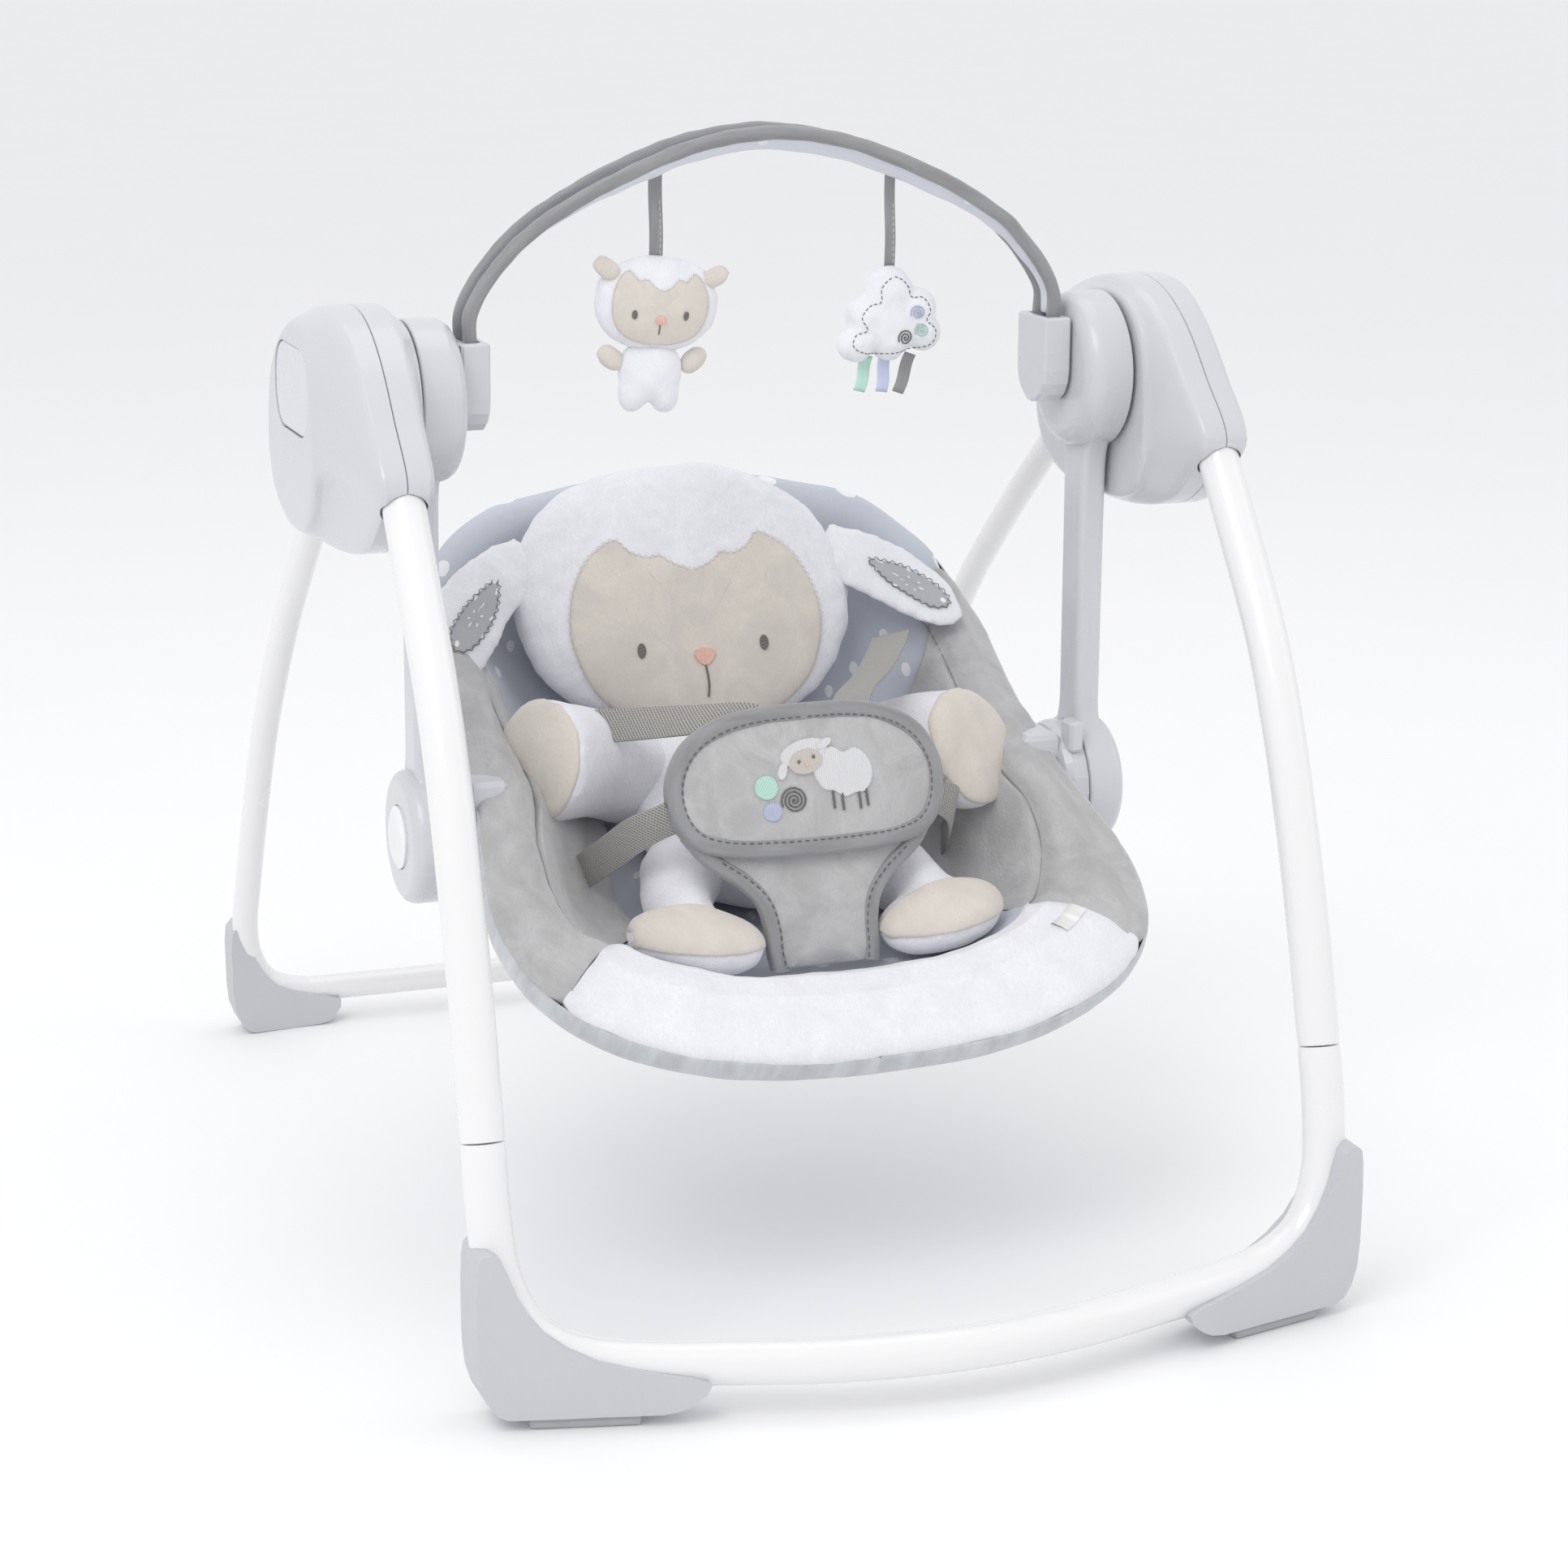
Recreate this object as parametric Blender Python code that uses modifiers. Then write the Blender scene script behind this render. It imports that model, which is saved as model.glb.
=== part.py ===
"""Portable baby swing: a folding A-frame with two hubs, two hanging arms, a padded seat and a toy bar.

+X is the swing's left-hand side as the baby sits, -Y is the front and +Z is up. Lengths are in metres.
Every outline below is measured from the swing axis in Y and from the floor in Z. SWING_Y then sets
the whole model so that its floor rectangle is centred on the origin.
"""

import math

import bmesh
import bpy
from mathutils import Matrix, Vector

SWING_Y = -0.0434
SWING_Z = 0.528
GAP = 0.0004
WALL = 0.003

HOUSING_IN = 0.2315
HOUSING_OUT = 0.290
SEAM = 0.258
MOUTH = ((-0.1215, 0.498), (-0.097, 0.470))
FULL_OUTLINE = MOUTH + (
    (-0.070, 0.452), (-0.030, 0.4435), (0.020, 0.4420), (0.060, 0.4445), (0.094, 0.457),
    (0.109, 0.474), (0.1145, 0.495), (0.1125, 0.518), (0.102, 0.546), (0.079, 0.567),
    (0.043, 0.5805), (0.005, 0.5865), (-0.030, 0.5805), (-0.062, 0.562), (-0.092, 0.532))
REAR_OF_FACE = ((0.058, 0.4485), (0.087, 0.460), (0.1005, 0.476), (0.1055, 0.495), (0.1035, 0.516),
                (0.094, 0.541), (0.073, 0.560))
INNER_FACE = ((-0.062, 0.500), (-0.060, 0.476), (-0.050, 0.458), (-0.025, 0.4475), (0.020, 0.446)) + REAR_OF_FACE + (
    (0.040, 0.573), (0.004, 0.579), (-0.028, 0.5745), (-0.050, 0.558), (-0.060, 0.532))
OUTER_FACE = ((-0.0235, 0.505), (-0.021, 0.487), (-0.012, 0.465), (0.008, 0.4505), (0.030, 0.447)) + REAR_OF_FACE + (
    (0.045, 0.573), (0.022, 0.577), (0.002, 0.571), (-0.013, 0.556), (-0.0215, 0.533))

FRONT_X = 0.258
FRONT_R = 0.0127
FRONT_UPPER = ((-0.0955, 0.5055), (-0.108, 0.488), (-0.148, 0.434), (-0.180, 0.388), (-0.205, 0.338),
               (-0.226, 0.283), (-0.246, 0.222), (-0.264, 0.157))
FRONT_CORNER = ((0.258, -0.264, 0.1565), (0.2578, -0.273, 0.118), (0.254, -0.281, 0.082),
                (0.240, -0.288, 0.053), (0.214, -0.294, 0.037), (0.178, -0.302, 0.031))
FRONT_BAR = ((0.130, -0.315, 0.030), (0.070, -0.331, 0.030), (0.0, -0.338, 0.030))
TUBE_WALL = 0.0012

REAR_X = 0.250
REAR_R = 0.0093
REAR_HINGE = (0.080, 0.478)
REAR_LEG = ((0.110, 0.4654), (0.145, 0.436), (0.190, 0.397), (0.250, 0.340), (0.320, 0.256),
            (0.365, 0.180), (0.395, 0.120))
REAR_CORNER = ((0.250, 0.410, 0.085), (0.246, 0.417, 0.058), (0.233, 0.422, 0.036), (0.208, 0.425, 0.026))
REAR_BAR = ((0.170, 0.425, 0.0245), (0.0, 0.425, 0.0245))

POD_R = 0.0495
POD_IN = 0.200
ARM_IN = 0.2112
ARM_OUT = 0.2290
HUB_Z = 0.258
HUB_R = 0.0417
HUB_OUT = 0.2362
BUTTON_R = 0.0195
AXLE_R = 0.006

GEAR_TEETH = 32
PINION_TEETH = 8
GEAR_MODULE = 0.0018
GEAR_X = (0.2375, 0.2420)
PINION_ANGLE = math.radians(25)

SOCKET_X = (0.1805, 0.1985)
BAR_WIRE_R = 0.0035
BAR_HALF_DEPTH = 0.0105
ARCH = ((0.1895, 0.530), (0.1895, 0.548), (0.1905, 0.565), (0.1895, 0.581), (0.178, 0.601), (0.156, 0.625),
        (0.125, 0.645), (0.092, 0.661), (0.048, 0.677), (0.0, 0.6835))
TOY_LAMB_X = -0.070
TOY_CLOUD_X = 0.083
TOY_HINGE_Z = 0.662

RING_R = 0.0055
SEAT_RING = ((0.0, -0.197, 0.162), (0.085, -0.195, 0.167), (0.148, -0.183, 0.184), (0.184, -0.156, 0.205),
             (0.196, -0.110, 0.229), (0.189, -0.060, 0.255), (0.179, -0.020, 0.276), (0.179, 0.020, 0.293),
             (0.184, 0.078, 0.322), (0.180, 0.125, 0.353), (0.160, 0.166, 0.387), (0.112, 0.186, 0.415),
             (0.0, 0.194, 0.428))
SEAT_PLANE_Y = 0.009
SEAT_PLANE_Z = 0.306
SEAT_TILT = math.radians(37.5)
SLING_DEPTH = 0.098
SLING_THICK = 0.005

GREY = ((0.665, 0.672, 0.686), 0.30, 0.0)
DARK_GREY = ((0.60, 0.61, 0.63), 0.55, 0.0)
WHITE_PAINT = ((0.90, 0.90, 0.90), 0.28, 0.0)
WHITE_PLASTIC = ((0.86, 0.86, 0.87), 0.35, 0.0)
STEEL = ((0.55, 0.55, 0.56), 0.32, 1.0)
NYLON = ((0.80, 0.79, 0.74), 0.50, 0.0)
RUBBER = ((0.45, 0.46, 0.47), 0.80, 0.0)
BOARD_GREEN = ((0.05, 0.22, 0.10), 0.60, 0.0)
BATTERY = ((0.07, 0.08, 0.09), 0.40, 0.2)
VELOUR = ((0.46, 0.46, 0.46), 0.95, 0.0)
WHITE_PLUSH = ((0.86, 0.86, 0.90), 0.95, 0.0)
BEIGE = ((0.63, 0.59, 0.52), 0.95, 0.0)
DOTTED = ((0.53, 0.56, 0.62), 0.85, 0.0)
BINDING = ((0.30, 0.30, 0.31), 0.70, 0.0)
WEBBING = ((0.40, 0.39, 0.35), 0.85, 0.0)


def start_scene():
    for obj in list(bpy.data.objects):
        bpy.data.objects.remove(obj, do_unlink=True)
    parts = bpy.data.collections.new("baby_swing")
    bpy.context.scene.collection.children.link(parts)
    return parts


PARTS = start_scene()


# ---- points ----

def smooth(points, per=4, closed=False):
    """Points on a Catmull-Rom curve through the given points, per steps to each span."""
    points = [Vector(p) for p in points]
    count = len(points)
    spans = count if closed else count - 1
    made = []
    for i in range(spans):
        if closed:
            a, b, c, d = (points[(i + k) % count] for k in (-1, 0, 1, 2))
        else:
            b, c = points[i], points[i + 1]
            a = points[i - 1] if i else b * 2 - c
            d = points[i + 2] if i + 2 < count else c * 2 - b
        for step in range(per):
            t = step / per
            made.append(0.5 * (2 * b + (c - a) * t + (2 * a - 5 * b + 4 * c - d) * t * t
                               + (3 * b - a - 3 * c + d) * t ** 3))
    if not closed:
        made.append(points[-1])
    return made


def inset(points, distance):
    """A closed 2-D outline moved inwards by distance."""
    count = len(points)
    area = sum(points[i].x * points[(i + 1) % count].y - points[(i + 1) % count].x * points[i].y
               for i in range(count))
    turn = 1 if area > 0 else -1
    moved = []
    for i, point in enumerate(points):
        along = (points[(i + 1) % count] - points[i - 1]).normalized()
        moved.append(point + Vector((-along.y, along.x)) * distance * turn)
    return moved


def mirrored(half):
    """A closed loop from the points of its +X half, which start and end on the plane X = 0."""
    return list(half) + [(-x, y, z) for x, y, z in half[-2:0:-1]]


# ---- objects ----

def add(name, data):
    obj = bpy.data.objects.new(name, data)
    PARTS.objects.link(obj)
    return obj


def face_outwards(bm):
    bmesh.ops.recalc_face_normals(bm, faces=bm.faces)
    if bm.calc_volume(signed=True) < 0:
        bmesh.ops.reverse_faces(bm, faces=bm.faces)


def mesh_object(name, bm):
    face_outwards(bm)
    mesh = bpy.data.meshes.new(name)
    bm.to_mesh(mesh)
    bm.free()
    return add(name, mesh)


def solid(obj):
    """The object as a plain mesh in world space, with its curve or modifiers worked out."""
    bpy.context.view_layer.update()
    graph = bpy.context.evaluated_depsgraph_get()
    mesh = bpy.data.meshes.new_from_object(obj.evaluated_get(graph))
    mesh.transform(obj.matrix_world)
    name = obj.name
    bpy.data.objects.remove(obj)
    bm = bmesh.new()
    bm.from_mesh(mesh)
    bmesh.ops.remove_doubles(bm, verts=bm.verts, dist=0.00002)
    if all(len(edge.link_faces) == 2 for edge in bm.edges):
        face_outwards(bm)
    bm.to_mesh(mesh)
    bm.free()
    return add(name, mesh)


def combine(obj, other, operation):
    """Cut, join or intersect obj with other, which is used up."""
    modifier = obj.modifiers.new(operation.title(), "BOOLEAN")
    modifier.operation = operation
    modifier.object = other
    made = solid(obj)
    bpy.data.objects.remove(other)
    return made


def cut(obj, *cutters):
    for cutter in cutters:
        obj = combine(obj, cutter, "DIFFERENCE")
    return obj


def join(obj, *others):
    for other in others:
        obj = combine(obj, other, "UNION")
    return obj


def rounded(obj, width, segments=2, angle=40):
    modifier = obj.modifiers.new("Rounding", "BEVEL")
    modifier.width = width
    modifier.segments = segments
    modifier.limit_method = "ANGLE"
    modifier.angle_limit = math.radians(angle)
    return solid(obj)


def cylinder(name, start, end, radius, sides=20, end_radius=None):
    start, end = Vector(start), Vector(end)
    bm = bmesh.new()
    bmesh.ops.create_cone(bm, cap_ends=True, segments=sides, radius1=radius,
                          radius2=radius if end_radius is None else end_radius,
                          depth=(end - start).length)
    turn = (end - start).to_track_quat("Z", "Y").to_matrix().to_4x4()
    bm.transform(Matrix.Translation((start + end) / 2) @ turn)
    return mesh_object(name, bm)


def box(name, low, high, turn=None):
    """A box between two corners, optionally turned about its own centre."""
    low, high = Vector(low), Vector(high)
    bm = bmesh.new()
    bmesh.ops.create_cube(bm, size=1)
    place = Matrix.Translation((low + high) / 2)
    bm.transform(place @ (turn or Matrix()) @ Matrix.Diagonal((high - low).to_4d()))
    return mesh_object(name, bm)


def ball(name, centre, radii, turn=None, rings=8):
    bm = bmesh.new()
    bmesh.ops.create_uvsphere(bm, u_segments=2 * rings, v_segments=rings, radius=1)
    bm.transform(Matrix.Translation(centre) @ (turn or Matrix()) @ Matrix.Diagonal((*radii, 1)))
    return mesh_object(name, bm)


def tube(name, points, radius, sides=12, wall=0.0, closed=False):
    """A round tube or rod along points. A wall leaves it open at both ends."""
    curve = bpy.data.curves.new(name, "CURVE")
    curve.dimensions = "3D"
    curve.bevel_depth = radius
    curve.bevel_resolution = (sides - 4) // 2
    curve.use_fill_caps = not wall and not closed
    spline = curve.splines.new("POLY")
    spline.points.add(len(points) - 1)
    for knot, point in zip(spline.points, points):
        knot.co = (*point, 1)
    spline.use_cyclic_u = closed
    obj = solid(add(name, curve))
    if wall:
        shell = obj.modifiers.new("Wall", "SOLIDIFY")
        shell.thickness = wall
        shell.offset = -1
        obj = solid(obj)
    return obj


def flat(name, outline, plane, low, high):
    """A flat outline extruded from low to high along the axis that plane leaves out."""
    curve = bpy.data.curves.new(name, "CURVE")
    curve.dimensions = "2D"
    curve.fill_mode = "BOTH"
    curve.extrude = (high - low) / 2
    spline = curve.splines.new("POLY")
    spline.points.add(len(outline) - 1)
    for knot, point in zip(spline.points, outline):
        knot.co = (point[0], point[1], 0, 1)
    spline.use_cyclic_u = True
    obj = add(name, curve)
    middle = (low + high) / 2
    columns = {"YZ": ((0, 1, 0), (0, 0, 1), (1, 0, 0)), "XZ": ((1, 0, 0), (0, 0, 1), (0, -1, 0)),
               "XY": ((1, 0, 0), (0, 1, 0), (0, 0, 1))}[plane]
    place = Matrix([list(row) for row in zip(*columns)]).to_4x4()
    place.translation = Vector(columns[2]) * middle
    obj.matrix_world = place
    return solid(obj)


def loft(name, rings):
    """A closed solid over matching rings of points, with a flat cap at each end."""
    bm = bmesh.new()
    levels = [[bm.verts.new(p) for p in ring] for ring in rings]
    count = len(rings[0])
    for lower, upper in zip(levels, levels[1:]):
        for i in range(count):
            j = (i + 1) % count
            bm.faces.new((lower[i], lower[j], upper[j], upper[i]))
    bm.faces.new(levels[0][::-1])
    bm.faces.new(levels[-1])
    return mesh_object(name, bm)


def turned(name, profile, centre, side=1, steps=24):
    """A profile of (radius, X) points, from the outer end to the inner end, turned about the X direction."""
    bm = bmesh.new()
    knots = [bm.verts.new((radius, 0, height)) for radius, height in profile]
    for a, b in zip(knots, knots[1:]):
        bm.edges.new((a, b))
    mesh = bpy.data.meshes.new(name)
    bm.to_mesh(mesh)
    bm.free()
    obj = add(name, mesh)
    screw = obj.modifiers.new("Turning", "SCREW")
    screw.steps = screw.render_steps = steps
    screw.use_merge_vertices = True
    screw.merge_threshold = 0.00005
    obj.matrix_world = (Matrix.Translation(centre) @ Matrix.Rotation(math.radians(90 * side), 4, "Y"))
    return solid(obj)


def ribbon(name, points, across, width, thick):
    """A flat strap along points, width wide in the direction across."""
    across = Vector(across).normalized() * width / 2
    bm = bmesh.new()
    rows = [(bm.verts.new(Vector(p) - across), bm.verts.new(Vector(p) + across)) for p in points]
    for (a, b), (c, d) in zip(rows, rows[1:]):
        bm.faces.new((a, b, d, c))
    obj = mesh_object(name, bm)
    shell = obj.modifiers.new("Thickness", "SOLIDIFY")
    shell.thickness = thick
    shell.offset = 0
    return solid(obj)


def gear(name, teeth, module, x_range, centre, bore, turn=0.0):
    """A spur gear with straight-sided teeth, thinner than half the pitch so that it never binds."""
    pitch = teeth * module / 2
    levels = ((-0.30, pitch - 1.10 * module), (-0.12, pitch + 0.80 * module),
              (0.12, pitch + 0.80 * module), (0.30, pitch - 1.10 * module))
    outline = []
    for tooth in range(teeth):
        for offset, radius in levels:
            angle = turn + (tooth + offset) * math.tau / teeth
            outline.append((centre[0] + radius * math.cos(angle), centre[1] + radius * math.sin(angle)))
    wheel = flat(name, outline, "YZ", *x_range)
    hole = cylinder("bore", (x_range[0] - 0.01, *centre), (x_range[1] + 0.01, *centre), bore, 16)
    return cut(wheel, hole)


def finish(obj, body, look):
    """Give a part its material and its body's empty as parent."""
    colour, roughness, metallic = look
    material = bpy.data.materials.new(obj.name)
    material.use_nodes = True
    shader = material.node_tree.nodes["Principled BSDF"]
    shader.inputs["Base Color"].default_value = (*colour, 1)
    shader.inputs["Roughness"].default_value = roughness
    shader.inputs["Metallic"].default_value = metallic
    obj.data.materials.clear()
    obj.data.materials.append(material)
    obj.data.shade_smooth()
    obj.data.set_sharp_from_angle(angle=math.radians(35))
    obj.parent = body
    obj.matrix_parent_inverse = body.matrix_world.inverted()
    return obj


def body_empty(name, place, parent=None):
    empty = bpy.data.objects.new(name, None)
    PARTS.objects.link(empty)
    empty.location = place
    bpy.context.view_layer.update()
    if parent:
        empty.parent = parent
        empty.matrix_parent_inverse = parent.matrix_world.inverted()
    bpy.context.view_layer.update()
    return empty


# ---- housings ----

def housing_ring(side, x, outward, inwards):
    """The housing's outline at one X, between its nearer flat face (outward = 0) and its full shape (1)."""
    nearer = INNER_FACE if x < SEAM else OUTER_FACE
    keys = [Vector(face).lerp(Vector(full), outward) for face, full in zip(nearer, FULL_OUTLINE)]
    outline = inset(smooth(keys, 2, closed=True), inwards)
    return [(side * x, p.x, p.y) for p in outline]


def housing_body(name, side, stations, wall=0.0):
    return loft(name, [housing_ring(side, x, outward, inwards + wall) for x, outward, inwards in stations])


INNER_STATIONS = ((HOUSING_IN, 0.0, 0.0035), (HOUSING_IN + 0.0025, 0.0, 0.0005), (HOUSING_IN + 0.0095, 0.86, 0.001),
                  (HOUSING_IN + 0.013, 1.0, 0.0), (SEAM - GAP / 2, 1.0, 0.0))
OUTER_STATIONS = ((SEAM + GAP / 2, 1.0, 0.0), (0.2735, 1.0, 0.0), (0.279, 0.62, 0.0), (0.285, 0.20, 0.0),
                  (0.2885, 0.0, 0.001), (HOUSING_OUT, 0.0, 0.005))
INNER_CAVITY = ((HOUSING_IN + WALL, 0.0, 0.0035), (HOUSING_IN + 0.013, 0.93, 0.001), (SEAM + 0.001, 1.0, 0.0))
OUTER_CAVITY = ((SEAM - 0.001, 1.0, 0.0), (0.2705, 1.0, 0.001), (0.2765, 0.58, 0.002), (0.2825, 0.18, 0.003),
                (0.2866, 0.0, 0.004))


def leg_socket(side):
    """The bore for a front leg tube, through the housing's mouth."""
    top, mouth = (Vector((side * FRONT_X, *p)) for p in FRONT_UPPER[:2])
    along = (mouth - top).normalized()
    return cylinder("leg_socket", top - along * 0.002, mouth + along * 0.05, FRONT_R * 1.035 + GAP, 12)


def fold_slot(side):
    return box("fold_slot", (min(side * 0.2395, side * 0.2605), 0.074, 0.420),
               (max(side * 0.2395, side * 0.2605), 0.150, 0.481))


def fold_button_line():
    """Two points on a fold button's axis: a point on the housing's rear face, and the outward direction."""
    low, high = Vector(FULL_OUTLINE[9]), Vector(FULL_OUTLINE[10])
    along = (high - low).normalized()
    return (low + high) / 2, Vector((along.y, -along.x))


def fold_button_rod(name, side, radius, inside, outside):
    centre, outwards = fold_button_line()
    start, end = centre - outwards * inside, centre + outwards * outside
    return cylinder(name, (side * 0.272, start.x, start.y), (side * 0.272, end.x, end.y), radius, 16)


def panel_outline(low, high, corner):
    """A rectangle with round corners, in Y and Z."""
    outline = []
    for quarter, (y, z) in enumerate(((high[0] - corner, high[1] - corner), (low[0] + corner, high[1] - corner),
                                      (low[0] + corner, low[1] + corner), (high[0] - corner, low[1] + corner))):
        for step in range(4):
            angle = math.radians(90 * quarter + 30 * step)
            outline.append((y + corner * math.cos(angle), z + corner * math.sin(angle)))
    return outline


def panel(name, side, low, high, corner, x_range, grow=0.0):
    low = (low[0] - grow, low[1] - grow)
    high = (high[0] + grow, high[1] + grow)
    ends = sorted(side * x for x in x_range)
    return flat(name, panel_outline(low, high, corner + grow), "YZ", *ends)


BADGE = ((-0.010, 0.508), (0.078, 0.560), 0.022)
CONTROLS = ((-0.006, 0.520), (0.076, 0.556), 0.014)
DOOR = ((-0.002, 0.464), (0.070, 0.508), 0.008)
BUTTONS = {"speed_button": (0.016, 0.538), "music_button": (0.054, 0.538)}


def housing_inner(side, name):
    shell = housing_body(name, side, INNER_STATIONS)
    shell = cut(shell, housing_body("cavity", side, INNER_CAVITY, WALL))
    boss = cylinder("boss", (side * (HOUSING_IN + 0.002), *REAR_HINGE), (side * 0.2402, *REAR_HINGE), 0.0075, 16)
    shell = join(shell, boss)
    pin_bore = cylinder("pin_bore", (side * 0.2355, *REAR_HINGE), (side * 0.245, *REAR_HINGE), 0.0044, 12)
    bearing_bore = cylinder("bearing_bore", (side * 0.22, 0, SWING_Z), (side * 0.245, 0, SWING_Z), 0.0112, 20)
    return cut(shell, fold_slot(side), leg_socket(side), pin_bore, bearing_bore)


def housing_outer(side, name):
    shell = housing_body(name, side, OUTER_STATIONS)
    shell = cut(shell, housing_body("cavity", side, OUTER_CAVITY, WALL))
    boss = cylinder("boss", (side * 0.2598, *REAR_HINGE), (side * 0.2885, *REAR_HINGE), 0.0075, 16)
    shell = join(shell, boss)
    pin_bore = cylinder("pin_bore", (side * 0.255, *REAR_HINGE), (side * 0.2855, *REAR_HINGE), 0.0044, 12)
    shell = cut(shell, fold_slot(side), leg_socket(side), pin_bore,
                fold_button_rod("button_bore", side, 0.0064, 0.010, 0.010))
    if side < 0:
        return cut(shell, panel("recess", side, *BADGE, (0.2878, 0.30), GAP))
    shell = cut(shell, panel("recess", side, *CONTROLS, (0.2874, 0.30), GAP),
                panel("battery_opening", side, *DOOR, (0.28, 0.30), GAP))
    for y, z in BUTTONS.values():
        shell = cut(shell, cylinder("button_bore", (0.28, y, z), (0.30, y, z), 0.0067, 16))
    return shell


def housings(root):
    for side, word in ((-1, "left"), (1, "right")):
        finish(housing_inner(side, f"housing_{word}_inner"), root, GREY)
        finish(housing_outer(side, f"housing_{word}_outer"), root, GREY)
        profile = ((0.0108, 0.0), (0.0064, 0.0), (0.0064, 0.0048), (0.0135, 0.0048), (0.0135, 0.0030),
                   (0.0108, 0.0030), (0.0108, 0.0))
        bearing = turned(f"bearing_{word}", profile, (side * (HOUSING_IN + 0.0005), 0, SWING_Z), side, 20)
        finish(bearing, root, NYLON)
        pin = cylinder(f"rear_pivot_pin_{word}", (side * 0.2360, *REAR_HINGE), (side * 0.2850, *REAR_HINGE),
                       0.004, 12)
        finish(pin, root, STEEL)
    finish(panel("badge_panel", -1, *BADGE, (0.2882, HOUSING_OUT)), root, WHITE_PLASTIC)


def electrics(root):
    controls = panel("control_panel", 1, *CONTROLS, (0.2878, 0.2892))
    for y, z in BUTTONS.values():
        controls = cut(controls, cylinder("button_bore", (0.28, y, z), (0.30, y, z), 0.0067, 16))
    finish(controls, root, DARK_GREY)
    door = rounded(panel("battery_door", 1, *DOOR, (0.2866, HOUSING_OUT)), 0.0006, 1)
    finish(door, root, GREY)
    upper = cylinder("battery_pack", (0.2722, -0.004, 0.4985), (0.2722, 0.066, 0.4985), 0.0128, 16)
    lower = cylinder("lower_cells", (0.2722, -0.004, 0.4735), (0.2722, 0.066, 0.4735), 0.0128, 16)
    finish(join(upper, lower), root, BATTERY)
    y, z = pinion_centre()
    case = cylinder("drive_motor", (0.2450, y, z), (0.2740, y, z), 0.012, 20)
    finish(rounded(case, 0.0012, 1), root, STEEL)
    finish(box("circuit_board", (0.2785, -0.020, 0.522), (0.2801, 0.076, 0.553)), root, BOARD_GREEN)
    cone = turned("speaker", ((0.0, 0.004), (0.006, 0.004), (0.0125, 0.009), (0.014, 0.009), (0.014, 0.006),
                              (0.009, 0.0), (0.0, 0.0))[::-1], (0.262, -0.030, 0.548), 1, 20)
    finish(cone, root, BATTERY)


def press_buttons(root):
    for name, (y, z) in BUTTONS.items():
        empty = body_empty(f"{name}_axis", (0.2905, y, z), root)
        cap = rounded(cylinder(name, (0.2835, y, z), (0.2905, y, z), 0.0062, 16), 0.0006, 1)
        finish(cap, empty, WHITE_PLASTIC)
    centre, _ = fold_button_line()
    for side, word in ((-1, "left"), (1, "right")):
        empty = body_empty(f"fold_button_{word}_axis", (side * 0.272, centre.x, centre.y), root)
        rod = fold_button_rod(f"fold_button_{word}", side, 0.0058, 0.008, 0.0035)
        finish(rounded(rod, 0.0008, 1), empty, DARK_GREY)


# ---- legs ----

def front_legs(root):
    for side, word in ((-1, "left"), (1, "right")):
        points = [(side * FRONT_X, y, z) for y, z in FRONT_UPPER]
        finish(tube(f"front_leg_{word}", points, FRONT_R, 12, TUBE_WALL), root, WHITE_PAINT)
    finish(tube("front_base_tube", base_points(), FRONT_R, 12, TUBE_WALL), root, WHITE_PAINT)
    for side, word in ((-1, "left"), (1, "right")):
        finish(front_foot(side, f"front_foot_{word}"), root, DARK_GREY)
        finish(front_pad(side, f"front_pad_{word}"), root, RUBBER)


def base_points():
    half = FRONT_CORNER + FRONT_BAR
    whole = list(half) + [(-x, y, z) for x, y, z in half[-2::-1]]
    points = [Vector(p) for p in whole]
    start = points[1] - points[0]
    points[0] = points[0] + start.normalized() * GAP
    points[-1] = Vector((-points[0].x, points[0].y, points[0].z))
    return points


def strip(path, half_width):
    """The outline in X and Y of a strip along path."""
    left, right = [], []
    for i, point in enumerate(path):
        along = (path[min(i + 1, len(path) - 1)] - path[max(i - 1, 0)]).normalized()
        side = Vector((-along.y, along.x)) * half_width
        left.append(point + side)
        right.append(point - side)
    return left + right[::-1]


def boot(name, side, outline, path, half_width, top):
    """A foot: an outline seen from the front, kept to a strip seen from above."""
    front = flat(name, smooth([(side * x, z) for x, z in outline], 2, closed=True), "XZ", -0.5, 0.5)
    above = flat("strip", strip([Vector((side * x, y)) for x, y in path], half_width), "XY", -0.01, top)
    return combine(front, above, "INTERSECT")


def front_foot(side, name):
    outline = ((0.2712, 0.094), (0.2718, 0.060), (0.2700, 0.028), (0.2610, 0.0098), (0.245, 0.0071), (0.205, 0.0071),
               (0.172, 0.0071), (0.156, 0.0125), (0.146, 0.0245), (0.170, 0.0300), (0.206, 0.0390),
               (0.234, 0.0560), (0.2500, 0.0800), (0.2585, 0.101), (0.268, 0.103))
    path = ((0.135, -0.3145), (0.178, -0.302), (0.214, -0.294), (0.240, -0.288), (0.280, -0.280))
    foot = boot(name, side, outline, path, 0.0168, 0.15)
    bore = tube("tube_bore", [(side * x, y, z) for x, y, z in FRONT_CORNER + FRONT_BAR[:2]], FRONT_R + GAP, 12)
    return cut(foot, bore)


def front_pad(side, name):
    turn = Matrix.Rotation(math.radians(13 * side), 4, "Z")
    pad = box(name, (side * 0.210 - 0.031, -0.309, 0.0), (side * 0.210 + 0.031, -0.281, 0.0062), turn)
    return rounded(pad, 0.002, 2)


def rear_points():
    half = ([(REAR_X, y, z) for y, z in REAR_LEG] + list(REAR_CORNER) + list(REAR_BAR))
    return half + [(-x, y, z) for x, y, z in half[-2::-1]]


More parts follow.
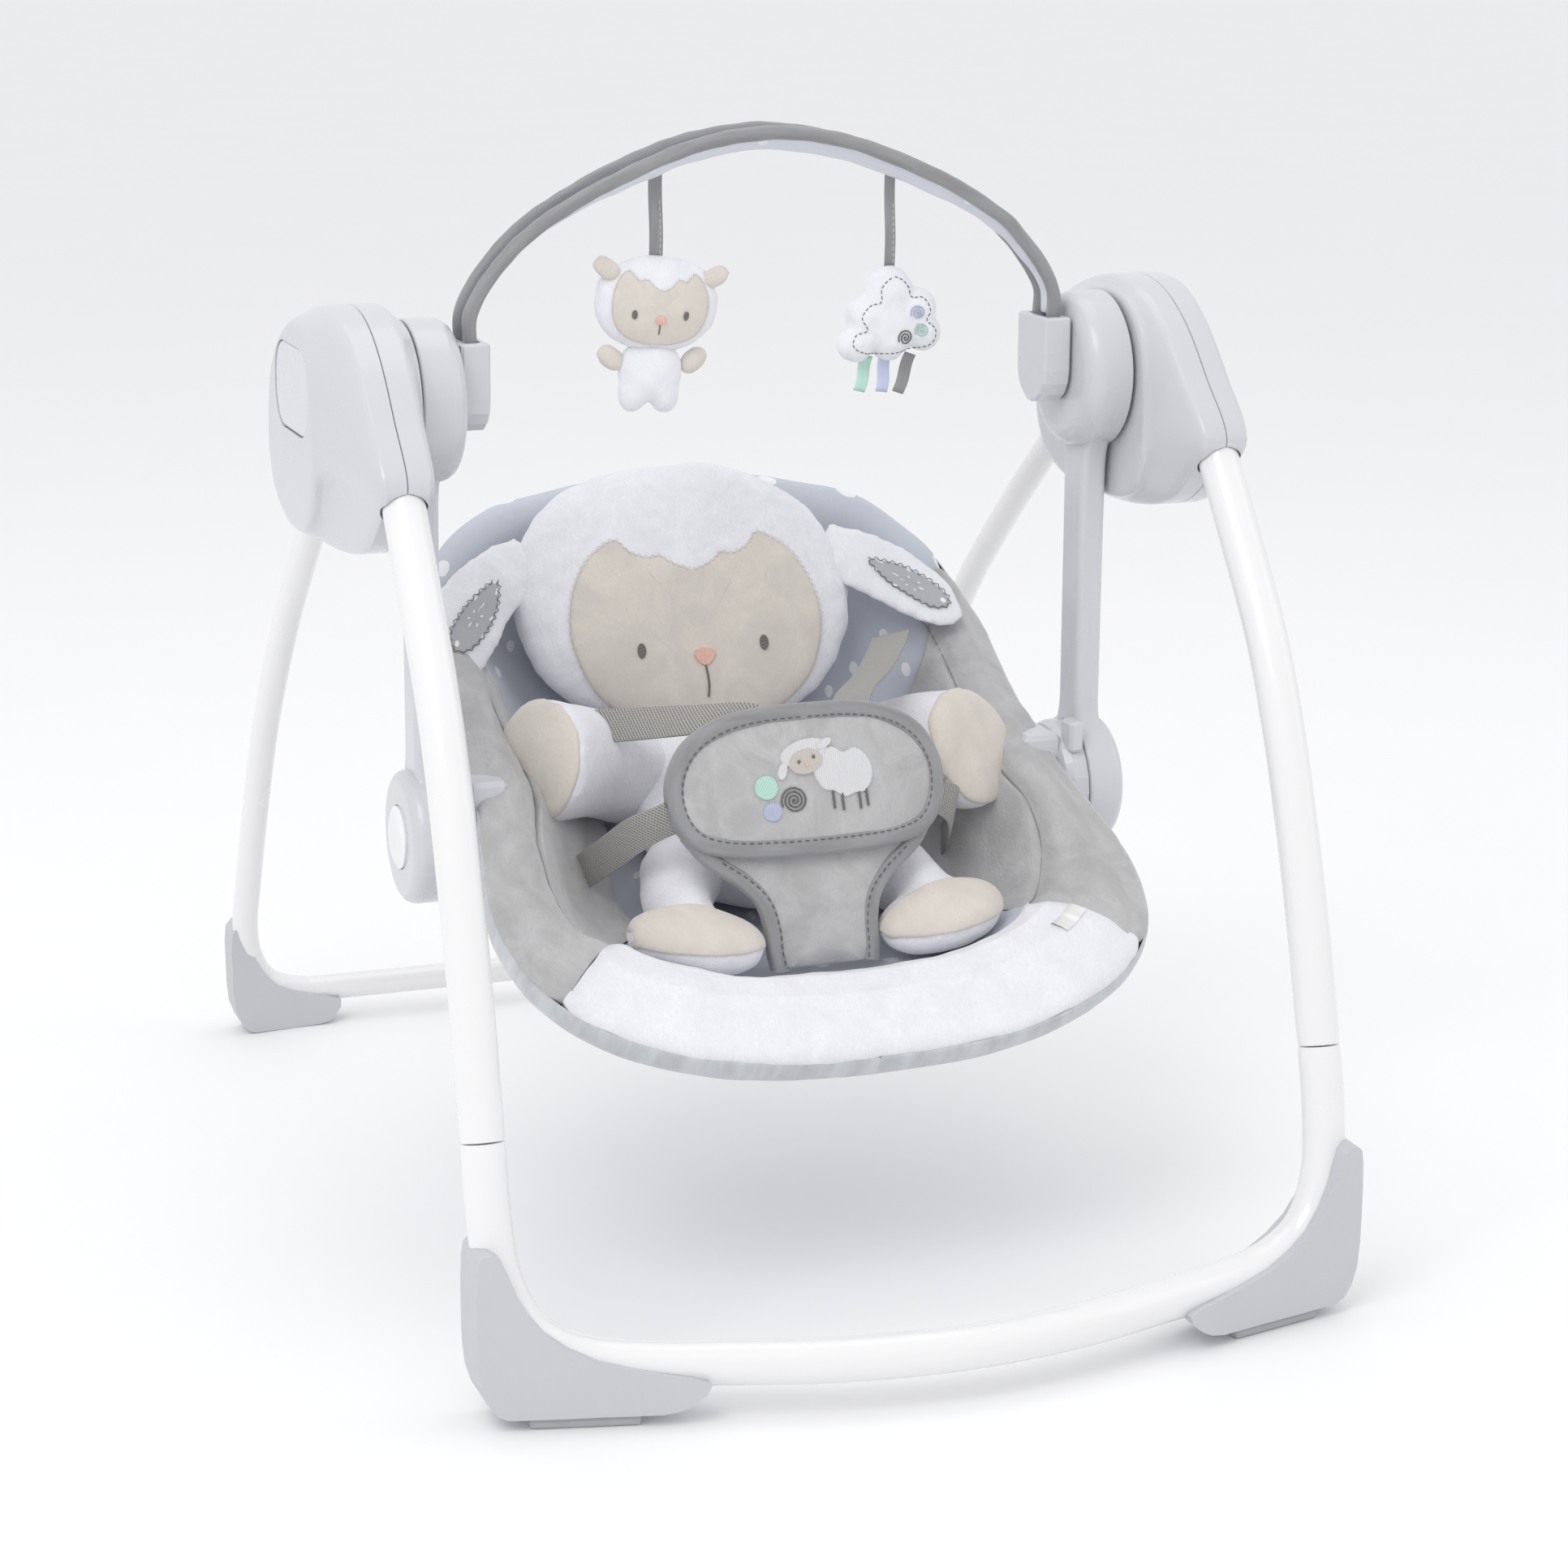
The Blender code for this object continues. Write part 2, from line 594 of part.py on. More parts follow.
def rear_legs(body):
    finish(tube("rear_leg_tube", rear_points(), REAR_R, 10, TUBE_WALL), body, WHITE_PAINT)
    outline = ((0.2605, 0.078), (0.2612, 0.050), (0.2595, 0.020), (0.250, 0.003), (0.236, 0.0006), (0.196, 0.0006),
               (0.184, 0.006), (0.179, 0.018), (0.200, 0.0235), (0.226, 0.0330), (0.2430, 0.0560), (0.2500, 0.082))
    path = ((0.17, 0.4250), (0.208, 0.4245), (0.236, 0.4215), (0.270, 0.4165))
    for side, word in ((-1, "left"), (1, "right")):
        foot = boot(f"rear_foot_{word}", side, outline, path, 0.0128, 0.15)
        bore = tube("tube_bore", [(side * REAR_X, *REAR_LEG[-1])]
                    + [(side * x, y, z) for x, y, z in REAR_CORNER + REAR_BAR[:1]], REAR_R + GAP, 10)
        finish(cut(foot, bore), body, DARK_GREY)
        tip = Vector(REAR_LEG[0])
        along = (Vector(REAR_LEG[1]) - tip).normalized()
        neck_start, neck_end, spigot_end = tip - along * 0.020, tip - along * GAP, tip + along * 0.020
        knuckle = cylinder(f"rear_knuckle_{word}", (side * 0.2407, *REAR_HINGE), (side * 0.2593, *REAR_HINGE), 0.013, 20)
        neck = cylinder("neck", (side * REAR_X, *neck_start), (side * REAR_X, *neck_end), REAR_R - 0.0006, 12)
        spigot = cylinder("spigot", (side * REAR_X, *neck_start), (side * REAR_X, *spigot_end),
                          REAR_R - TUBE_WALL - 0.0009, 12)
        bore = cylinder("pin_bore", (side * 0.23, *REAR_HINGE), (side * 0.27, *REAR_HINGE), 0.0044, 12)
        finish(cut(join(knuckle, join(neck, spigot)), bore), body, DARK_GREY)


# ---- swinging arms and drive ----

def pinion_centre():
    distance = (GEAR_TEETH + PINION_TEETH) * GEAR_MODULE / 2 + GAP
    return distance * math.cos(PINION_ANGLE), SWING_Z + distance * math.sin(PINION_ANGLE)


def swing_arm(side, name):
    pod = turned(name, ((0.0, ARM_OUT), (POD_R, ARM_OUT), (POD_R, POD_IN + 0.0070),
                        (POD_R - 0.0020, POD_IN + 0.0025), (POD_R - 0.0065, POD_IN), (0.0, POD_IN)),
                 (0, 0, SWING_Z), side, 24)
    beam = loft("beam", [[(side * ARM_IN, -half, z), (side * ARM_OUT, -half, z), (side * ARM_OUT, half, z),
                          (side * ARM_IN, half, z)] for half, z in ((0.014, HUB_Z + 0.01), (0.015, 0.512))])
    beam = rounded(beam, 0.003, 2)
    hub = turned("hub", ((0.0, HUB_OUT), (HUB_R - 0.006, HUB_OUT), (HUB_R - 0.0018, HUB_OUT - 0.0025),
                         (HUB_R, HUB_OUT - 0.0075), (HUB_R, ARM_IN), (0.0, ARM_IN)), (0, 0, HUB_Z), side, 24)
    arm = join(pod, beam, hub)
    hollow = cylinder("hollow", (side * 0.2065, 0, SWING_Z), (side * 0.24, 0, SWING_Z), 0.0440, 20)
    core = cylinder("core", (side * 0.2055, 0, SWING_Z), (side * 0.25, 0, SWING_Z), 0.0125, 20)
    arm = cut(arm, cut(hollow, core))
    axle_bore = cylinder("axle_bore", (side * 0.2042, 0, SWING_Z), (side * 0.24, 0, SWING_Z), AXLE_R + GAP, 16)
    bar_bore = cylinder("bar_bore", (side * 0.19, 0, SWING_Z), (side * 0.2032, 0, SWING_Z), 0.0054, 16)
    pin_bore = cylinder("pin_bore", (side * 0.20, 0, HUB_Z), (side * 0.2285, 0, HUB_Z), 0.0060, 16)
    button_bore = cylinder("button_bore", (side * 0.2312, 0, HUB_Z), (side * 0.25, 0, HUB_Z), BUTTON_R + GAP, 24)
    return cut(arm, axle_bore, bar_bore, pin_bore, button_bore)


def swinging_arms(swing):
    for side, word in ((-1, "left"), (1, "right")):
        finish(swing_arm(side, f"swing_arm_{word}"), swing, GREY)
        axle = cylinder(f"swing_axle_{word}", (side * 0.2046, 0, SWING_Z), (side * 0.2432, 0, SWING_Z), AXLE_R, 16)
        finish(axle, swing, STEEL)
        empty = body_empty(f"recline_button_{word}_axis", (side * 0.2395, 0, HUB_Z), swing)
        cap = turned(f"recline_button_{word}", ((0.0, 0.2395), (BUTTON_R - 0.004, 0.2393), (BUTTON_R, 0.2376),
                                                (BUTTON_R, 0.2335), (0.0, 0.2335)), (0, 0, HUB_Z), side, 24)
        finish(cap, empty, WHITE_PLASTIC)
    wheel = gear("drive_gear", GEAR_TEETH, GEAR_MODULE, GEAR_X, (0, SWING_Z), AXLE_R + GAP, PINION_ANGLE)
    finish(wheel, swing, NYLON)


def motor_pinion(root):
    y, z = pinion_centre()
    empty = body_empty("motor_pinion_axis", (GEAR_X[0], y, z), root)
    half_tooth = math.pi / PINION_TEETH
    small = gear("motor_pinion", PINION_TEETH, GEAR_MODULE, GEAR_X, (y, z), 0.0016,
                 PINION_ANGLE + math.pi + half_tooth)
    finish(small, empty, NYLON)


# ---- seat ----

def seat_ring_points():
    return smooth(mirrored(SEAT_RING), 2, closed=True)


def seat_hub(side, name):
    hub = turned(name, ((0.0, 0.2106), (0.0395, 0.2106), (0.0395, 0.2010), (0.0375, 0.1965), (0.033, 0.1945),
                        (0.0, 0.1945)), (0, 0, HUB_Z), side, 24)
    pin = cylinder("pin", (side * 0.205, 0, HUB_Z), (side * 0.2280, 0, HUB_Z), 0.0055, 16)
    lug = box("lug", (min(side * 0.1722, side * 0.198), -0.024, 0.2700),
              (max(side * 0.1722, side * 0.198), 0.024, 0.2940))
    hub = join(hub, pin, rounded(lug, 0.003, 1))
    bore = tube("ring_bore", seat_ring_points(), RING_R + GAP, 8, closed=True)
    hub = cut(hub, bore)
    latch = rounded(box("latch", (min(side * 0.199, side * 0.2085), -0.034, 0.284),
                        (max(side * 0.199, side * 0.2085), -0.018, 0.304)), 0.002, 1)
    return join(hub, latch)


def sling(name):
    """The hanging fabric bucket: rings that shrink from the rim towards the middle of its floor."""
    across, along = Vector((1, 0, 0)), Vector((0, math.cos(SEAT_TILT), math.sin(SEAT_TILT)))
    upwards = across.cross(along)
    middle = Vector((0, SEAT_PLANE_Y, SEAT_PLANE_Z))
    rim = [p - middle for p in smooth(mirrored(SEAT_RING), 1, closed=True)]
    bm = bmesh.new()
    rows = []
    for size in (0.945, 0.88, 0.77, 0.62, 0.42, 0.2):
        row = []
        for p in rim:
            height = p.dot(upwards) * size ** 2 - SLING_DEPTH * (1 - size ** 4)
            place = middle + across * p.x * size + along * p.dot(along) * size + upwards * height
            row.append(bm.verts.new(place))
        rows.append(row)
    count = len(rim)
    for lower, upper in zip(rows, rows[1:]):
        for i in range(count):
            j = (i + 1) % count
            bm.faces.new((lower[i], lower[j], upper[j], upper[i]))
    bm.faces.new(rows[-1])
    obj = mesh_object(name, bm)
    shell = obj.modifiers.new("Thickness", "SOLIDIFY")
    shell.thickness = SLING_THICK
    shell.offset = 0
    return solid(obj)


def crotch_pad(name):
    """The harness pad: a wide rounded top on a neck that runs down between the legs."""
    half = ((0.0, 0.093), (0.052, 0.089), (0.080, 0.072), (0.089, 0.045), (0.083, 0.020), (0.062, 0.002),
            (0.043, -0.018), (0.034, -0.036), (0.036, -0.056), (0.030, -0.066), (0.0, -0.068))
    outline = smooth(list(half) + [(-x, z) for x, z in half[-2:0:-1]], 2, closed=True)
    pad = flat(name, outline, "XZ", -0.005, 0.005)
    pad.matrix_world = Matrix.Translation((0, -0.100, 0.2515)) @ Matrix.Rotation(math.radians(-17), 4, "X")
    return rounded(solid(pad), 0.002, 1)


def seat(body):
    for side, word in ((-1, "left"), (1, "right")):
        finish(seat_hub(side, f"seat_hub_{word}"), body, GREY)
    finish(tube("seat_frame", seat_ring_points(), RING_R, 8, closed=True), body, STEEL)
    finish(sling("seat_sling"), body, VELOUR)
    lean = Matrix.Rotation(math.radians(-28), 4, "X")
    finish(ball("lamb_head", (0, 0.128, 0.378), (0.112, 0.030, 0.084), lean, 8), body, WHITE_PLUSH)
    recline = Matrix.Rotation(SEAT_TILT, 4, "X")
    finish(ball("lamb_body", (0, 0.018, 0.244), (0.078, 0.072, 0.034), recline, 7), body, WHITE_PLUSH)
    for side, word in ((-1, "left"), (1, "right")):
        finish(ball(f"lamb_arm_{word}", (side * 0.122, 0.028, 0.287), (0.035, 0.032, 0.032), None, 6), body, WHITE_PLUSH)
        finish(ball(f"lamb_foot_{word}", (side * 0.082, -0.085, 0.203), (0.038, 0.034, 0.023), None, 6), body, BEIGE)
    finish(crotch_pad("crotch_pad"), body, VELOUR)
    for side, word in ((-1, "left"), (1, "right")):
        route = smooth(((side * 0.118, 0.010, 0.222), (side * 0.114, -0.030, 0.243), (side * 0.103, -0.064, 0.268),
                        (side * 0.093, -0.080, 0.2800)), 2)
        strap = ribbon(f"waist_strap_{word}", route, (0, -0.35, 0.94), 0.022, 0.0015)
        finish(strap, body, WEBBING)


# ---- toy bar ----

def bar_socket(side, name):
    outline = [(-0.0215, 0.5635), (-0.0215, 0.530)]
    for step in range(1, 8):
        angle = math.pi + step * math.pi / 8
        outline.append((0.0215 * math.cos(angle), 0.5295 + 0.0215 * math.sin(angle)))
    outline += [(0.0215, 0.530), (0.0215, 0.5635)]
    ends = sorted(side * x for x in SOCKET_X)
    socket = rounded(flat(name, outline, "YZ", *ends), 0.0015, 1)
    slot = box("slot", (min(side * 0.1847, side * 0.1945), -0.0153, 0.5245),
               (max(side * 0.1847, side * 0.1945), 0.0153, 0.58))
    pivot = cylinder("pivot", (side * 0.1960, 0, SWING_Z), (side * 0.2026, 0, SWING_Z), 0.0050, 16)
    return join(cut(socket, slot), pivot)


def arch_points(y):
    return [(x, y, z) for x, z in ARCH] + [(-x, y, z) for x, z in ARCH[-2::-1]]


def toy_bar(body):
    for side, word in ((-1, "left"), (1, "right")):
        finish(bar_socket(side, f"toy_bar_socket_{word}"), body, GREY)
    front = arch_points(-BAR_HALF_DEPTH)
    back = arch_points(BAR_HALF_DEPTH)[::-1]
    finish(tube("toy_bar_frame", front + back, BAR_WIRE_R, 8, closed=True), body, BINDING)
    sleeve = ribbon("toy_bar_sleeve", arch_points(0.0)[3:-3], (0, 1, 0), 0.0125, 0.0025)
    finish(sleeve, body, DOTTED)


def toy_lamb(body):
    x = TOY_LAMB_X
    head = ball("toy_lamb", (x, 0, 0.581), (0.034, 0.017, 0.027), None, 8)
    belly = ball("belly", (x, 0, 0.541), (0.021, 0.014, 0.023), None, 8)
    finish(join(head, belly), body, WHITE_PLUSH)
    strap = ribbon("toy_lamb_strap", [(x, 0, 0.6605), (x, 0, 0.635), (x, 0, 0.6090)], (1, 0, 0), 0.0085, 0.0014)
    finish(strap, body, BINDING)


def toy_cloud(body):
    x = TOY_CLOUD_X
    cloud = ball("toy_cloud", (x, 0, 0.556), (0.031, 0.014, 0.018), None, 8)
    top = ball("top", (x + 0.002, 0, 0.573), (0.018, 0.013, 0.024), None, 8)
    finish(join(cloud, top), body, WHITE_PLUSH)
    strap = ribbon("toy_cloud_strap", [(x, 0, 0.6560), (x, 0, 0.630), (x, 0, 0.5985)], (1, 0, 0), 0.0085, 0.0014)
    finish(strap, body, BINDING)


def build():
    root = body_empty("frame", (0, 0, 0))
    rear = body_empty("rear_legs_axis", (0, *REAR_HINGE), root)
    swing = body_empty("swing_axis", (0, 0, SWING_Z), root)
    seat_body = body_empty("seat_axis", (0, 0, HUB_Z), swing)
    bar = body_empty("toy_bar_axis", (0, 0, SWING_Z), swing)
    lamb = body_empty("toy_lamb_axis", (TOY_LAMB_X, 0, TOY_HINGE_Z), bar)
    cloud = body_empty("toy_cloud_axis", (TOY_CLOUD_X, 0, TOY_HINGE_Z), bar)
    housings(root)
    electrics(root)
    press_buttons(root)
    front_legs(root)
    rear_legs(rear)
    swinging_arms(swing)
    motor_pinion(root)
    seat(seat_body)
    toy_bar(bar)
    toy_lamb(lamb)
    toy_cloud(cloud)
    root.location.y = SWING_Y
    bpy.context.view_layer.update()


build()
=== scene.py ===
"""Looks of the portable baby swing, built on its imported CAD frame.

Metres, with -Y to the front and +Z up. A name's left is -X, as seen from the front. Points below are measured
from the swing axis in Y, and add() moves each finished mesh by SWING_Y into the frame's own place.
"""
import math

import bmesh
import bpy
from mathutils import Matrix, Vector, noise
from mathutils.bvhtree import BVHTree


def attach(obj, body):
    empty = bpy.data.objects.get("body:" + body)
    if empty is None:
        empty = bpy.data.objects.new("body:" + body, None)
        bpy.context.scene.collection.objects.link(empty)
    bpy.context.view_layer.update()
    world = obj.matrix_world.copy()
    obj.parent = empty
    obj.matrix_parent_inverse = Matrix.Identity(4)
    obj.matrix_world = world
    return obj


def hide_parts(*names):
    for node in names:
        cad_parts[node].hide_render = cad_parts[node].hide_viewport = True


SWING_Y = -0.0434
SWING_Z = 0.528
HUB_Z = 0.258
TAU = math.tau
SIDES = ((-1, "left"), (1, "right"))
LOOKS = {}
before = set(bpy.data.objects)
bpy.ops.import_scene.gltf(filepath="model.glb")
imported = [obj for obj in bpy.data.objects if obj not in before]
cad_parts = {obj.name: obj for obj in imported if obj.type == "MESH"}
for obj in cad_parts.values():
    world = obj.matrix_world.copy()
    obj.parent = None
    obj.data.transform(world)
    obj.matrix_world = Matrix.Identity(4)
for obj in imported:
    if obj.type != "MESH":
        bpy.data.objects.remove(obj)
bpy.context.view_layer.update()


# ---- camera, light and floor ----

def linked(name, data):
    """A new object in the scene."""
    obj = bpy.data.objects.new(name, data)
    bpy.context.scene.collection.objects.link(obj)
    return obj


def look_at(obj, place, target):
    obj.location = place
    obj.rotation_euler = (Vector(target) - Vector(place)).to_track_quat("-Z", "Y").to_euler()


CAMERA_PLACE, CAMERA_WAY = Vector((-0.75155, -2.0999, 0.85328)), Vector((0.309, 0.9265, -0.2148))
LENS, SHIFT_X, SHIFT_Y = 81.905, 0.0776, -0.0983


def camera():
    data = bpy.data.cameras.new("camera")
    data.sensor_width, data.lens, data.clip_start = 36, LENS, 0.05
    data.shift_x, data.shift_y = SHIFT_X, SHIFT_Y
    obj = linked("camera", data)
    look_at(obj, CAMERA_PLACE, CAMERA_PLACE + CAMERA_WAY)
    bpy.context.scene.camera = obj


def softbox(name, place, target, size, watts):
    data = bpy.data.lights.new(name, "AREA")
    data.shape = "RECTANGLE"
    data.size, data.size_y = size
    data.energy = watts
    look_at(linked(name, data), place, target)


def studio():
    world = bpy.data.worlds.new("studio")
    world.use_nodes = True
    background = world.node_tree.nodes["Background"]
    background.inputs["Color"].default_value = (0.985, 0.99, 1.0, 1)
    background.inputs["Strength"].default_value = 0.9
    bpy.context.scene.world = world
    bpy.context.scene.view_settings.view_transform = "Standard"
    softbox("key", (-1.6, -1.5, 2.6), (0, 0, 0.3), (1.6, 1.6), 24)
    softbox("fill", (2.6, -1.0, 1.6), (0, 0, 0.35), (1.4, 2.0), 4)
    softbox("top", (0.1, 0.6, 2.9), (0, 0, 0.3), (2.2, 1.6), 8)
    bm = bmesh.new()
    bmesh.ops.create_grid(bm, x_segments=8, y_segments=8, size=30)
    mesh = bpy.data.meshes.new("floor")
    bm.to_mesh(mesh)
    bm.free()
    floor = linked("floor", mesh)
    mesh.materials.append(plain("floor_white", (0.93, 0.93, 0.935), 0.6, 0.01, 3, 0))


# ---- materials ----

class Look:
    """A Principled material with its node tree, and short ways to add nodes to it."""

    def __init__(self, name, roughness=0.5, **sockets):
        self.material = bpy.data.materials.new(name)
        self.material.use_nodes = True
        self.tree = self.material.node_tree
        self.shader = self.tree.nodes["Principled BSDF"]
        self.shader.inputs["Roughness"].default_value = roughness
        for socket, value in sockets.items():
            self.shader.inputs[socket.replace("_", " ")].default_value = value
        self.coordinates = self.tree.nodes.new("ShaderNodeTexCoord")

    def link(self, source, target):
        self.tree.links.new(source, target)

    def add(self, kind, inputs=None, **settings):
        made = self.tree.nodes.new("ShaderNode" + kind)
        for key, value in settings.items():
            setattr(made, key, value)
        for key, value in (inputs or {}).items():
            if isinstance(value, bpy.types.NodeSocket):
                self.link(value, made.inputs[key])
            else:
                made.inputs[key].default_value = value
        return made

    def mapped(self, space="Object", scale=(1, 1, 1), turn=0.0):
        return self.add("Mapping", {"Vector": self.coordinates.outputs[space], "Scale": scale,
            "Rotation": (0, 0, turn)}).outputs["Vector"]

    def noise(self, scale, detail=2.0, vector=None, roughness=0.5, distortion=0.0):
        return self.add("TexNoise", {"Vector": vector or self.coordinates.outputs["Object"], "Scale": scale,
            "Detail": detail, "Roughness": roughness, "Distortion": distortion}).outputs["Fac"]

    def math(self, operation, first, second=0.0):
        return self.add("Math", {0: first, 1: second}, operation=operation).outputs[0]

    def ramp(self, value, low, high, start=0.0, end=1.0):
        return self.add("MapRange", {"Value": value, "From Min": low, "From Max": high, "To Min": start,
            "To Max": end}, interpolation_type="SMOOTHSTEP").outputs["Result"]

    def mix(self, factor, first, second):
        made = self.add("Mix", {0: factor}, data_type="RGBA")
        for socket, value in ((made.inputs[6], first), (made.inputs[7], second)):
            if isinstance(value, bpy.types.NodeSocket):
                self.link(value, socket)
            else:
                socket.default_value = (*value, 1)
        return made.outputs[2]

    def colour(self, socket):
        self.link(socket, self.shader.inputs["Base Color"])

    def bump(self, height, distance, strength=1.0):
        made = self.add("Bump", {"Height": height, "Distance": distance, "Strength": strength})
        self.link(made.outputs["Normal"], self.shader.inputs["Normal"])

    def vary_roughness(self, value, low, high):
        self.link(self.ramp(value, 0.3, 0.7, low, high), self.shader.inputs["Roughness"])


def shade(colour, factor):
    return tuple(min(1.0, c * factor) for c in colour)


def plain(name, colour, roughness, vary=0.03, scale=25.0, bump=0.00008, wear=0.0, metallic=0.0, coat=0.0):
    """Moulded plastic, paint or metal: faint mottling, fine grain, uneven gloss and paler edges."""
    look = Look(name, roughness, Metallic=metallic, Coat_Weight=coat, Coat_Roughness=0.08)
    mottle = look.noise(scale, 3)
    base = look.mix(mottle, shade(colour, 1 - vary), shade(colour, 1 + vary))
    if wear:
        geometry = look.add("NewGeometry")
        edge = look.ramp(geometry.outputs["Pointiness"], 0.52, 0.6)
        base = look.mix(look.math("MULTIPLY", edge, wear), base, shade(colour, 1.25))
    look.colour(base)
    look.vary_roughness(look.noise(scale * 3, 4), max(0.05, roughness - 0.05), roughness + 0.06)
    if bump:
        look.bump(look.noise(900, 2), bump, 0.5)
    return look.material


def pile(name, colour, fine=900.0, nap=16.0, vary=0.09, depth=0.0008, sheen=0.5, roughness=0.9):
    """Velour, plush or felt: brushed patches, short fibres and a pale sheen at grazing angles."""
    look = Look(name, roughness, Sheen_Weight=sheen, Sheen_Roughness=0.4)
    brushed = look.noise(nap, 4, look.mapped(scale=(1.0, 0.6, 0.8), turn=0.6), 0.6, 1.2)
    fibre = look.noise(fine, 3, look.mapped(scale=(1.0, 0.45, 0.45)), 0.7)
    patches = look.ramp(brushed, 0.3, 0.7)
    base = look.mix(patches, shade(colour, 1 - vary), shade(colour, 1 + vary * 0.7))
    look.colour(look.mix(look.ramp(fibre, 0.25, 0.75), look.mix(0.5, base, shade(colour, 0.88)), base))
    height = look.math("ADD", look.math("MULTIPLY", fibre, 0.6), look.math("MULTIPLY", brushed, 0.8))
    look.bump(height, depth, 0.55)
    look.vary_roughness(brushed, roughness - 0.12, min(1.0, roughness + 0.05))
    return look.material


def dotted(name, colour, pitch=0.036, dot=0.105, white=(0.86, 0.87, 0.9)):
    """Smooth woven fabric with small pale dots."""
    look = Look(name, 0.75, Sheen_Weight=0.15)
    surface = look.coordinates.outputs["UV"]
    cells = look.add("TexVoronoi", {"Vector": surface, "Scale": 1 / pitch, "Randomness": 0.35},
        voronoi_dimensions="2D")
    mark = look.ramp(cells.outputs["Distance"], dot, dot * 1.12, 1.0, 0.0)
    cloudy = look.noise(30, 3)
    base = look.mix(cloudy, shade(colour, 0.94), shade(colour, 1.05))
    weave, cross = (look.add("TexWave", {"Vector": look.mapped("UV"), "Scale": 420.0}, bands_direction=way)
        for way in "XY")
    threads = look.math("ADD", weave.outputs["Fac"], cross.outputs["Fac"])
    look.colour(look.mix(mark, look.mix(look.ramp(threads, 0.4, 1.6), shade(colour, 0.95), base), white))
    look.bump(look.math("ADD", look.math("MULTIPLY", threads, 0.12), look.math("MULTIPLY", cloudy, 1.2)),
        0.0012, 0.5)
    look.vary_roughness(cloudy, 0.68, 0.82)
    return look.material


def satin(name, colour, ribs=150):
    """Smooth bias binding, with faint cross wrinkles along its length (UV's U runs along the band)."""
    look = Look(name, 0.42, Sheen_Weight=0.25)
    wrinkles = look.noise(1.0, 3, look.mapped("UV", scale=(ribs, 25, 1)), 0.5, 0.4)
    threads = look.add("TexWave", {"Vector": look.mapped("UV", turn=0.75), "Scale": 500.0}).outputs["Fac"]
    look.colour(look.mix(look.ramp(wrinkles, 0.3, 0.7), shade(colour, 0.86), shade(colour, 1.08)))
    look.bump(look.math("ADD", wrinkles, look.math("MULTIPLY", threads, 0.06)), 0.0012, 0.6)
    look.vary_roughness(wrinkles, 0.36, 0.55)
    return look.material


def woven(name, colour, pitch=0.003):
    """Coarse twill webbing: two diagonal thread families crossing each other."""
    look = Look(name, 0.8, Sheen_Weight=0.1)
    scale = 1 / pitch / 2
    bands = []
    for turn in (0.95, -0.95):
        wave = look.add("TexWave", {"Vector": look.mapped("UV", turn=turn), "Scale": scale,
            "Distortion": 0.4, "Detail": 1.0})
        bands.append(wave.outputs["Fac"])
    threads = look.math("MAXIMUM", *bands)
    over = look.math("GREATER_THAN", *bands)
    tone = look.mix(over, shade(colour, 0.82), shade(colour, 1.12))
    look.colour(look.mix(look.ramp(threads, 0.35, 0.95), shade(colour, 0.45), tone))
    look.bump(threads, 0.0007, 0.8)
    look.vary_roughness(threads, 0.7, 0.9)
    return look.material


def embroidery(name, colour, turn=0.5):
    """Satin stitch: dense parallel shiny threads."""
    look = Look(name, 0.45, Sheen_Weight=0.3)
    threads = look.add("TexWave", {"Vector": look.mapped(turn=turn), "Scale": 420.0, "Distortion": 1.5,
        "Detail": 2.0, "Detail Scale": 3.0}).outputs["Fac"]
    look.colour(look.mix(threads, shade(colour, 0.8), shade(colour, 1.08)))
    look.bump(threads, 0.0004, 0.8)
    look.vary_roughness(threads, 0.38, 0.6)
    return look.material


HOUSING = (0.6, 0.61, 0.64)
BINDING = (0.28, 0.28, 0.29)
PALE_BINDING = (0.545, 0.56, 0.585)
VELOUR = (0.5, 0.495, 0.5)
WHITE_FUR = (0.84, 0.84, 0.885)
BEIGE_FUR = (0.7, 0.65, 0.59)
DOTTED_BLUE = (0.57, 0.6, 0.67)
WEBBING = (0.47, 0.455, 0.43)
THREAD_DARK = (0.105, 0.1, 0.1)
MINT = (0.5, 0.76, 0.66)
LAVENDER = (0.56, 0.6, 0.8)
PINK = (0.9, 0.56, 0.45)
EYE_GREY = (0.16, 0.15, 0.14)


# ---- mesh helpers ----

def smooth(points, per=4, closed=False):
    """Points on a Catmull-Rom curve through the given points, per steps to each span."""
    points = [Vector(p) for p in points]
    count = len(points)
    made = []
    for i in range(count if closed else count - 1):
        if closed:
            a, b, c, d = (points[(i + k) % count] for k in (-1, 0, 1, 2))
        else:
            b, c = points[i], points[i + 1]
            a = points[i - 1] if i else b * 2 - c
            d = points[i + 2] if i + 2 < count else c * 2 - b
        for step in range(per):
            t = step / per
            made.append(0.5 * (2 * b + (c - a) * t + (2 * a - 5 * b + 4 * c - d) * t * t
                + (3 * b - a - 3 * c + d) * t ** 3))
    if not closed:
        made.append(points[-1])
    return made


def rounded(points, per=4):
    """The (x, z) pairs of a smooth closed outline."""
    return [tuple(p) for p in smooth(points, per, closed=True)]


def mirrored(half):
    """A half outline, from axis to axis, with its mirror image in X added."""
    return list(half) + [(-x, y, z) for x, y, z in half[-2:0:-1]]


def inset(points, distance):
    """A closed flat outline with each point moved inwards."""
    count = len(points)
    area = sum(points[i].x * points[(i + 1) % count].y - points[(i + 1) % count].x * points[i].y
        for i in range(count))
    turn = 1 if area > 0 else -1
    moved = []
    for i, point in enumerate(points):
        along = (points[(i + 1) % count] - points[i - 1]).normalized()
        moved.append(point + Vector((-along.y, along.x)) * distance * turn)
    return moved


